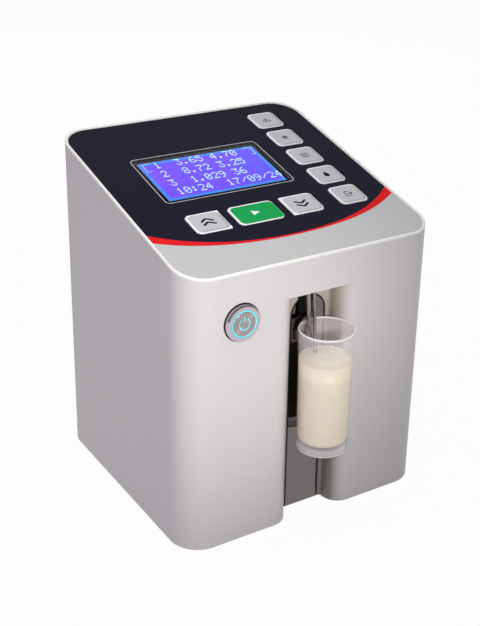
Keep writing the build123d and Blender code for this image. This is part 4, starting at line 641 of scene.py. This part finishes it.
material, tree, shader = finish("frosted cup", Specular_IOR_Level=0.45)
height = tree.math("SUBTRACT", tree.place_mm()[2], CUP_AT.z)
veil = tree.ramp(height, *SKIRT_FADE, WET_VEIL, SKIRT_VEIL)
for fade, most in ((DRY_FADE, DRY_VEIL), (LIP_FADE, LIP_VEIL), (FOOT_FADE, LIP_VEIL)):
    veil = tree.math("MAXIMUM", veil, tree.ramp(height, *fade, 0.0, most))
veil = tree.sway(tree.noise(tree.place(), FROST_WAVES), FROST_SPREAD, veil)
put_skin(tree, shader, to_linear(244, 240, 240), grain=0.5, cloud=0.01, rough=0.2, depth=0.02)
tree.feed(shader, {"Alpha": veil})
FINISHES["cup_clear"] = material
print(material.name, len(material.node_tree.nodes), "nodes")

# %% [markdown]
# Milk scatters light just under its surface. A real volume would show that best but renders
# slowly, and a little subsurface weight comes close. Its warm white is the same all through,
# with only a trace of cloud.

# %% Milk
FINISHES["milk"] = skin("milk", (254, 241, 211), 0.3, grain=1.5, cloud=0.015, depth=0.02,
                        Subsurface_Weight=0.3, Subsurface_Scale=0.003, Specular_IOR_Level=0.3)
print("all finishes", len(FINISHES))

# %% [markdown]
# The solids arrive with a plain grey each. Every node now takes the finish of its material
# slot, or its own where it has one.

# %% Give every node its finish
subparts = frame["record"]["subparts"]
for part in subparts:
    solid = frame["nodes"][part["node"]]
    solid.data.materials.clear()
    solid.data.materials.append(BY_NODE.get(part["node"]) or FINISHES[part["material_slot"]])
print("painted", len(subparts), "nodes")

# %% [markdown]
# Fine flat marks, such as display dots and key pictograms, are thin plates cut from outlines.
# They could be drawn in the shader too, but a plate keeps its sharp edge in every program. One
# helper builds it from convex outlines, another lays it in its place and gives it its finish.
# Marks on the front face and the bay's back are turned upright first.

# %% Mark helpers


def to_data(mesh, name, smooth=False):
    """Blender mesh from a bmesh."""
    data = bpy.data.meshes.new(name)
    mesh.to_mesh(data)
    mesh.free()
    for polygon in data.polygons:
        polygon.use_smooth = smooth
    return data


def plate_mesh(name, outlines, thickness):
    """Flat plates from convex outlines in millimetres, top at z = 0."""
    mesh = bmesh.new()
    for outline in outlines:
        top = [mesh.verts.new((x * MM, y * MM, 0.0)) for x, y in outline]
        low = [mesh.verts.new((x * MM, y * MM, -thickness * MM)) for x, y in outline]
        mesh.faces.new(top)
        mesh.faces.new(low[::-1])
        for i in range(len(outline)):
            j = (i + 1) % len(outline)
            mesh.faces.new((top[j], top[i], low[i], low[j]))
    bmesh.ops.recalc_face_normals(mesh, faces=mesh.faces)
    return to_data(mesh, name)


def upright_matrix(x, y, z):
    """Place on an upright face, from millimetres: x across, y up, z out to the front."""
    turn = Matrix(((1, 0, 0), (0, 0, -1), (0, 1, 0))).to_4x4()
    return Matrix.Translation(Vector((x, y, z)) * MM) @ turn


def add_piece(name, data, matrix, material, body):
    """Put a mesh in the scene, riding on a body."""
    piece = bpy.data.objects.new(name, data)
    piece.data.transform(matrix)
    piece.data.materials.append(material)
    bpy.context.scene.collection.objects.link(piece)
    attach(piece, body)
    return piece


def bar(ax, ay, bx, by, width):
    """Outline of a straight bar between two points."""
    side = Vector((by - ay, ax - bx)).normalized() * (width / 2)
    return [(ax + side.x, ay + side.y), (ax - side.x, ay - side.y),
            (bx - side.x, by - side.y), (bx + side.x, by + side.y)]


print("a bar's outline", bar(0.0, 0.0, 0.0, 1.0, 0.5))

# %% [markdown]
# The display shows four rows of plain numbers, sixteen places wide. Every digit is drawn on a
# grid of five by seven dots, as such displays do: each number below is one line of a digit,
# and its bits are the dots that are lit.

# %% Digits
DIGITS = {
    "0": (14, 17, 19, 21, 25, 17, 14), "1": (4, 12, 4, 4, 4, 4, 14), "2": (14, 17, 1, 2, 4, 8, 31),
    "3": (31, 2, 4, 2, 1, 17, 14), "4": (2, 6, 10, 18, 31, 2, 2), "5": (31, 16, 30, 1, 1, 17, 14),
    "6": (6, 8, 16, 30, 17, 17, 14), "7": (31, 1, 2, 4, 8, 8, 8), "8": (14, 17, 17, 14, 17, 17, 14),
    "9": (14, 17, 17, 15, 1, 2, 12), ".": (0, 0, 0, 0, 0, 12, 12), ":": (0, 12, 12, 0, 12, 12, 0),
    "/": (0, 1, 2, 4, 8, 16, 0), " ": (0,) * 7,
}
DOT_COLUMNS, MIDDLE_LINE = 5, 3
DOT_X, DOT_Y, DOT_FILL = 0.72, 0.86, 0.9


def lit_dots(character, left, middle):
    """Small squares for a character's lit dots, from its left edge and its middle height."""
    w, h = DOT_X * DOT_FILL, DOT_Y * DOT_FILL
    out = []
    for line_no, bits in enumerate(DIGITS[character]):
        for column in range(DOT_COLUMNS):
            if bits >> (DOT_COLUMNS - 1 - column) & 1:
                x, y = left + column * DOT_X, middle + (MIDDLE_LINE - line_no) * DOT_Y
                out.append([(x, y), (x + w, y), (x + w, y + h), (x, y + h)])
    return out


print("digit shapes", len(DIGITS))

# %% [markdown]
# The dots and the two thin brackets beside the first rows are one piece, just under the window.
# They shine through it, so they have their own pale blue light.

# %% Display dots
ROWS = ("1  3.65 4.70", "2  8.72 3.25", "3  1.029 36", "10:24  17/09/24")
ROW_V = (102.0, 93.0, 83.8, 75.2)
TEXT_X, PLACE_W = -38.3, 4.3
BRACKET_W = 0.3
BRACKETS = ((-44.2, 105.2, -39.4, 105.2), (-44.2, 105.3, -44.2, 97.4), (-44.2, 97.4, -41.4, 97.4),
            (18.4, 105.2, 23.0, 105.2), (23.0, 105.3, 23.0, 97.8), (20.4, 97.8, 23.0, 97.8))
DOT_DEPTH, DOT_T, DOT_WAVES = 2.27, 0.02, 400.0
DOT_BLUE, DOT_PALE, DOT_BODY = [to_linear(*rgb) for rgb in (
    (170, 215, 250), (205, 240, 250), (90, 110, 130))]

squares = [square for row, middle in zip(ROWS, ROW_V) for place_no, character in enumerate(row)
           for square in lit_dots(character, TEXT_X + place_no * PLACE_W, middle)]
brackets = [bar(*ends, BRACKET_W) for ends in BRACKETS]
material, tree, shader = finish("lit dots", Emission_Strength=1.0, Specular_IOR_Level=0.1,
                                Base_Color=DOT_BODY)
glow = tree.mix(tree.noise(tree.place(), DOT_WAVES), DOT_BLUE, DOT_PALE)
tree.feed(shader, {"Emission Color": glow})
add_piece("display_dots", plate_mesh("display_dots", squares + brackets, DOT_T),
          panel_matrix(0, 0, DOT_DEPTH), material, "case")
print("dots", len(squares))

# %% [markdown]
# Each key carries a small mark in the middle, printed on the film. The marks are generic: a
# door for leaving, a drop, three lines for the list, a sparkle for cleaning and a tray for
# keeping. Two chevrons move up and down, and a triangle starts.

# %% Key marks
KEY_TOP, MARK_LIFT, MARK_T = 0.2, 0.02, 0.015
STROKE, LIST_STROKE, RAY_STROKE, CHEVRON_STROKE = 0.5, 0.6, 0.4, 1.25
CHEVRON_HALF_W, CHEVRON_STEP, CHEVRON_LOW, CHEVRON_TIP = 3.6, 1.5, -1.0, 1.4
DROP_R, DROP_MIDDLE, DROP_TIP = 1.7, -0.8, 2.7
INK = skin("key ink", (14, 15, 26), 0.6, grain=0.3, cloud=0.1, Specular_IOR_Level=0.05)
INK_WHITE = skin("key ink white", (242, 246, 242), 0.5, grain=0.3, cloud=0.02)


def strokes(*lines, width=STROKE):
    """Outlines of straight strokes, each from its two ends."""
    return [bar(*ends, width) for ends in lines]


def chevrons(side):
    """Two chevrons pointing up the panel, or down it where side is -1."""
    ends = [(x, side * (shift + CHEVRON_LOW), 0.0, side * (shift + CHEVRON_TIP))
            for shift in (-CHEVRON_STEP, CHEVRON_STEP) for x in (-CHEVRON_HALF_W, CHEVRON_HALF_W)]
    return strokes(*ends, width=CHEVRON_STROKE)


def drop_outline():
    """A drop standing on its round end."""
    turns = [radians(a) for a in range(-210, 31, 20)]
    return [[(DROP_R * cos(a), DROP_MIDDLE + DROP_R * sin(a)) for a in turns] + [(0.0, DROP_TIP)]]


MARKS = {
    "exit": strokes((-1.6, -2.2, -1.6, 2.2), (-1.6, 2.0, 1.0, 2.0), (-1.6, -2.0, 1.0, -2.0),
                    (-0.6, 0.0, 2.4, 0.0), (1.4, 1.1, 2.6, 0.0), (1.4, -1.1, 2.6, 0.0)),
    "ph": drop_outline(),
    "menu": strokes(*[(-2.6, y, 2.6, y) for y in (-1.6, 0.0, 1.6)], width=LIST_STROKE),
    "clean": (strokes((-2.4, 0.0, 2.4, 0.0), (0.0, -2.4, 0.0, 2.4))
              + strokes((-1.3, -1.3, 1.3, 1.3), (-1.3, 1.3, 1.3, -1.3), width=RAY_STROKE)),
    "save": strokes((-2.4, -1.9, 2.4, -1.9), (-2.2, -2.0, -2.2, -0.2), (2.2, -2.0, 2.2, -0.2),
                    (0.0, 2.2, 0.0, -0.6), (-1.2, 0.5, 0.0, -0.8), (1.2, 0.5, 0.0, -0.8)),
    "up": chevrons(1), "down": chevrons(-1),
    "enter": [[(-2.2, 2.0), (-2.2, -2.0), (2.4, 0.0)]],
}
for name, outlines in MARKS.items():
    x, v, width = KEYS[name]
    ink, slot = (INK_WHITE, "key_green") if name == "enter" else (INK, "key_grey")
    add_piece("key_mark_" + name, plate_mesh("key_mark_" + name, outlines, MARK_T),
              panel_matrix(x, v, KEY_TOP - MARK_LIFT), ink, "key_" + name)
print("marks", len(MARKS))

# %% [markdown]
# The push button's cap carries the usual standby mark, an open ring with a bar, lit from
# behind. Its ring is made of short straight bars, which the mark helper can already cut. It
# stands out of the cap by a hair and rides on it.

# %% Standby mark
CAP_PROUD = 2.9
MARK_R, MARK_RING_W, MARK_STARTS, MARK_STOPS, MARK_STEPS = 2.9, 0.55, 125, 415, 36
MARK_BAR, MARK_BAR_W = (0.0, 1.1, 0.0, 3.9), 0.6


def ring_bars(radius, width, start, end, count):
    """Outlines of short bars along an arc, degrees from the right."""
    turns = [radians(start + (end - start) * i / count) for i in range(count + 1)]
    inner, outer = radius - width / 2, radius + width / 2
    return [[(outer * cos(a), outer * sin(a)), (inner * cos(a), inner * sin(a)),
             (inner * cos(b), inner * sin(b)), (outer * cos(b), outer * sin(b))]
            for a, b in zip(turns, turns[1:])]


mark = ring_bars(MARK_R, MARK_RING_W, MARK_STARTS, MARK_STOPS, MARK_STEPS)
mark += strokes(MARK_BAR, width=MARK_BAR_W)
add_piece("standby_mark", plate_mesh("standby_mark", mark, MARK_T),
          upright_matrix(BUTTON_X, FRONT_Y - CAP_PROUD - MARK_LIFT, BUTTON_Z),
          FINISHES["light_ring"], "power_cap")
print("standby mark", len(mark), "bars")

# %% [markdown]
# A black gasket fills the gap round the polished plate, and its black is also painted shade: it
# shows the gap's shadow as a thin dark outline of the arch, just below the plate's face. A shadow
# in the gap would be enough in daylight but not under soft lamps, so the gasket is a real strip
# between two arches.

# %% Plate gasket and painted gap shade
PLATE_X, PLATE_HALF, PLATE_TOP, PLATE_GAP = 2.6, 9.8, 126.0, 1.0
BAY_BACK_Y, GASKET_IN, GASKET_T, GASKET_FREE = -56.025, 0.12, 0.8, 0.01
HOUSING_FOOT = 3.05


def arch_line(half, top, count=32):
    """Points up the left side, over the arch and down the right side."""
    turns = [pi - pi * i / count for i in range(count + 1)]
    over = [(PLATE_X + half * cos(a), top - half + half * sin(a)) for a in turns]
    return [(PLATE_X - half, HOUSING_FOOT)] + over + [(PLATE_X + half, HOUSING_FOOT)]


inside = arch_line(PLATE_HALF + GASKET_FREE, PLATE_TOP + GASKET_FREE)
outside = arch_line(PLATE_HALF + PLATE_GAP - GASKET_FREE, PLATE_TOP + PLATE_GAP - GASKET_FREE)
outlines = [[a, b, d, c] for a, b, c, d in zip(inside, inside[1:], outside, outside[1:])]
# painted shade: the black strip darkens the gap round the plate
add_piece("plate_gasket_shade", plate_mesh("plate_gasket_shade", outlines, GASKET_T),
          upright_matrix(0, BAY_BACK_Y + GASKET_IN, 0), FINISHES["rubber_black"], "case")
print("gasket", len(outlines), "lengths")

# %% [markdown]
# The cup is turned from its profile, like the milk in it. Blender's Screw modifier could turn
# it too, but leaves a ring of doubled points on the axis. This lathe takes radius and height,
# point by point, and closes the surface with one point where the profile meets the axis.

# %% Lathe


def lathe(name, profile, steps=96):
    """Mesh turned about the cup's axis from radius and height in millimetres."""
    mesh = bmesh.new()
    rings = []
    for radius, height in profile:
        if radius == 0.0:
            rings.append([mesh.verts.new((0, 0, height * MM))])
            continue
        ring = [(radius * cos(2 * pi * i / steps), radius * sin(2 * pi * i / steps))
                for i in range(steps)]
        rings.append([mesh.verts.new((x * MM, y * MM, height * MM)) for x, y in ring])
    for a, b in zip(rings, rings[1:]):
        for i in range(steps):
            j = (i + 1) % steps
            if len(a) == 1:
                mesh.faces.new((a[0], b[j], b[i]))
            elif len(b) == 1:
                mesh.faces.new((a[i], a[j], b[0]))
            else:
                mesh.faces.new((a[i], a[j], b[j], b[i]))
    bmesh.ops.recalc_face_normals(mesh, faces=mesh.faces)
    return to_data(mesh, name, smooth=True)


def arc_points(middle_r, middle_h, radius, start, end, count):
    """Points on an arc of a profile."""
    turns = [radians(start + (end - start) * i / count) for i in range(count + 1)]
    return [(middle_r + radius * cos(a), middle_h + radius * sin(a)) for a in turns]


print("quarter arc", arc_points(0.0, 0.0, 1.0, 0, 90, 2))

# %% [markdown]
# The cup has a rolled lip, a tapered wall, a floor with a soft corner and an open skirt. A
# turned profile keeps the wall's real thickness, which frosted plastic needs to look right.

# %% Cup
RIM_R, BASE_R, WALL_T, LIP_R = 14.25, 13.25, 0.5, 0.36
FLOOR_TOP, FLOOR_UNDER, FLOOR_R, FLOOR_FLAT = 4.7, 3.5, 2.2, 6.0
OUTSIDE_HEIGHTS, INSIDE_HEIGHTS = (3.4, 5.0, 20.0, 40.0, 60.0, 65.4), (65.0, 60.0, 40.0, 20.0, 7.5)
CORNER_HEIGHT = 7.0
SKIRT_TOP_R, SKIRT_DRAFT, SKIRT_LIP = 10.0, 0.05, 0.3
FOOT_ROUND = ((0.35, 0.0), (0.1, 0.08), (0.0, 0.35))


def cup_r(height, inset=0.0):
    """Radius of the tapered wall at a height."""
    return BASE_R + (RIM_R - BASE_R) * height / CUP_H - inset


under = [(0.0, FLOOR_UNDER), (SKIRT_TOP_R, FLOOR_UNDER),
         (cup_r(3.0, WALL_T) - 0.4, FLOOR_UNDER - 0.1), (cup_r(2.8, WALL_T), 3.0),
         (BASE_R - WALL_T + SKIRT_DRAFT, SKIRT_LIP), (BASE_R - WALL_T + 2 * SKIRT_DRAFT, 0.0)]
foot = [(BASE_R - inset, height) for inset, height in FOOT_ROUND]
outer = [(cup_r(h), h) for h in OUTSIDE_HEIGHTS]
lip = arc_points(RIM_R - LIP_R, CUP_H - LIP_R, LIP_R, 0, 180, 8)
inner = [(cup_r(h, WALL_T), h) for h in INSIDE_HEIGHTS]
corner = arc_points(cup_r(CORNER_HEIGHT, WALL_T) - FLOOR_R, FLOOR_TOP + FLOOR_R, FLOOR_R, 0, -90, 6)
floor = [(FLOOR_FLAT, FLOOR_TOP), (0.0, FLOOR_TOP)]
cup_data = lathe("sample_cup_turned", under + foot + outer + lip + inner + corner + floor)
cup_place = Matrix.Translation(CUP_AT * MM)
cup = add_piece("sample_cup_turned", cup_data, cup_place, FINISHES["cup_clear"], "cup")
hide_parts("sample_cup")
print("cup points", len(cup_data.vertices))

# %% [markdown]
# Milk wets the wall, so its surface climbs a little where it meets the cup. Below, it follows
# the cup's floor and wall with a hair of air between, so that the two surfaces never touch.

# %% Milk in the cup
MILK_TOP, MILK_CREEP, CREEP_REACH = 50.0, 0.7, 1.6
SIDE_HEIGHTS, CREEP_STEPS, SURFACE_STEPS = (9.0, 20.0, 40.0), (0.25, 0.6, 1.0), (8.0, 4.0, 0.0)
WALL_AIR, FLOOR_AIR = 0.08, 0.1

wall = WALL_T + WALL_AIR
bottom = [(0.0, FLOOR_TOP + FLOOR_AIR), (FLOOR_FLAT, FLOOR_TOP + FLOOR_AIR)]
round_corner = [(r - FLOOR_AIR, h + FLOOR_AIR) for r, h in corner[::-1]]
side = [(cup_r(h, wall), h) for h in (*SIDE_HEIGHTS, MILK_TOP + MILK_CREEP)]
meniscus = [(cup_r(MILK_TOP, wall) - d, MILK_TOP + MILK_CREEP * (1 - d / CREEP_REACH) ** 2)
            for d in (*CREEP_STEPS, CREEP_REACH)]
surface = [(r, MILK_TOP) for r in SURFACE_STEPS]
milk_data = lathe("milk_surface", bottom + round_corner + side + meniscus + surface)
milk = add_piece("milk_surface", milk_data, cup_place, FINISHES["milk"], "cup")
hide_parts("milk_sample")
print("milk points", len(milk_data.vertices))

# %% [markdown]
# The studio floor is a pale sweep that curves up behind the object. Its white comes from what
# the camera, gloss and clear plastic see of it, which Light Path tells apart, and not from
# more light on the object. It keeps a matt share, so the object's shadow stays.

# %% Floor
SWEEP_HALF, SWEEP_H, SWEEP_BACK, SWEEP_R = 3.0, 2.5, 1.2, 0.8
FLOOR_DROP = 0.0002
MATT_GREY, WHITE, WHITE_SHARE = (0.42, 0.42, 0.42, 1), (1, 1, 1, 1), 0.97


def sweep_mesh():
    """Floor that curves up into a backdrop behind the object."""
    mesh = bmesh.new()
    turns = [radians(a) for a in range(10, 91, 10)]
    line = [(-SWEEP_HALF, 0.0), (SWEEP_BACK, 0.0)]
    line += [(SWEEP_BACK + SWEEP_R * sin(a), SWEEP_R - SWEEP_R * cos(a)) for a in turns]
    line.append((SWEEP_BACK + SWEEP_R, SWEEP_H))
    left = [mesh.verts.new((-SWEEP_HALF, y, z - FLOOR_DROP)) for y, z in line]
    right = [mesh.verts.new((SWEEP_HALF, y, z - FLOOR_DROP)) for y, z in line]
    for i in range(len(line) - 1):
        mesh.faces.new((left[i], right[i], right[i + 1], left[i + 1]))
    return to_data(mesh, "sweep", smooth=True)


material = bpy.data.materials.new("studio sweep")
material.use_nodes = True
material.node_tree.nodes.clear()
tree = Tree(material.node_tree)
path = tree.add("ShaderNodeLightPath").outputs
clearly = tree.math("MAXIMUM", path["Is Glossy Ray"], path["Is Transmission Ray"])
share = tree.math("MULTIPLY", tree.math("MAXIMUM", path["Is Camera Ray"], clearly), WHITE_SHARE)
matt = tree.add("ShaderNodeBsdfDiffuse", {"Color": MATT_GREY})
white = tree.add("ShaderNodeEmission", {"Color": WHITE, "Strength": 1.0})
both = tree.add("ShaderNodeMixShader", {0: share, 1: matt.outputs[0], 2: white.outputs[0]})
tree.add("ShaderNodeOutputMaterial", {"Surface": both.outputs[0]})
sweep = bpy.data.objects.new("studio_sweep", sweep_mesh())
sweep.data.materials.append(material)
bpy.context.scene.collection.objects.link(sweep)
print("sweep points", len(sweep.data.vertices))

# %% [markdown]
# The world does the same: it is white where it is seen, and an even, weak light elsewhere, which
# fills the shadows. One strength could not be both.

# %% World
WORLD_LIGHT = 0.31

world = bpy.data.worlds.new("studio world")
bpy.context.scene.world = world
world.use_nodes = True
world.node_tree.nodes.clear()
tree = Tree(world.node_tree)
path = tree.add("ShaderNodeLightPath").outputs
seen = tree.math("MAXIMUM", path["Is Camera Ray"], path["Is Transmission Ray"])
strength = tree.ramp(seen, 0.0, 1.0, WORLD_LIGHT, 1.0)
light = tree.add("ShaderNodeBackground", {"Color": WHITE, "Strength": strength})
tree.add("ShaderNodeOutputWorld", {"Surface": light.outputs[0]})
print("world light", WORLD_LIGHT)

# %% [markdown]
# Three soft lamps shape the object: the strongest from above, a violet one from the left that
# tints the side, and a low one behind that edges the housing. Sun lamps would be simpler, but
# only a lamp with a size gives shadows with a soft edge and broad highlights on metal.

# %% Soft lamps
OBJECT_MIDDLE = Vector((0.0, 0.0, 0.09))


def add_lamp(data, at, toward):
    """Put a lamp in the scene, looking at a point."""
    lamp = bpy.data.objects.new(data.name, data)
    lamp.location = at
    lamp.rotation_euler = (toward - Vector(at)).to_track_quat("-Z", "Y").to_euler()
    bpy.context.scene.collection.objects.link(lamp)


def area_lamp(name, at, size, power, colour=(1, 1, 1)):
    """Square soft lamp that looks at the object's middle."""
    data = bpy.data.lights.new(name, "AREA")
    data.shape = "SQUARE"
    data.size = size
    data.energy = power
    data.color = colour
    add_lamp(data, at, OBJECT_MIDDLE)


area_lamp("top_lamp", at=(-0.1, -0.05, 1.4), size=0.8, power=6.8)
area_lamp("left_lamp", at=(-1.2, -0.5, 0.9), size=0.6, power=2.15, colour=(1.0, 0.80, 1.25))
area_lamp("back_lamp", at=(0.5, 1.1, 0.3), size=0.4, power=2.6)
print("soft lamps", [lamp.name for lamp in bpy.data.lights])

# %% [markdown]
# A narrow spot from the front lifts the button and the front beside it, as the photographer's
# lamp does. Its edge is fully blended, so no circle of light shows.

# %% Front spot
SPOT_POWER, SPOT_ANGLE, SPOT_BLEND, SPOT_R = 40.0, radians(15), 1.0, 0.06
SPOT_AT, SPOT_TOWARD = (-0.25, -1.15, 0.5), Vector((-0.06, -0.07, 0.135))

spot = bpy.data.lights.new("front_lamp", "SPOT")
spot.energy = SPOT_POWER
spot.spot_size = SPOT_ANGLE
spot.spot_blend = SPOT_BLEND
spot.shadow_soft_size = SPOT_R
add_lamp(spot, SPOT_AT, SPOT_TOWARD)
print("lamps", len(bpy.data.lights))
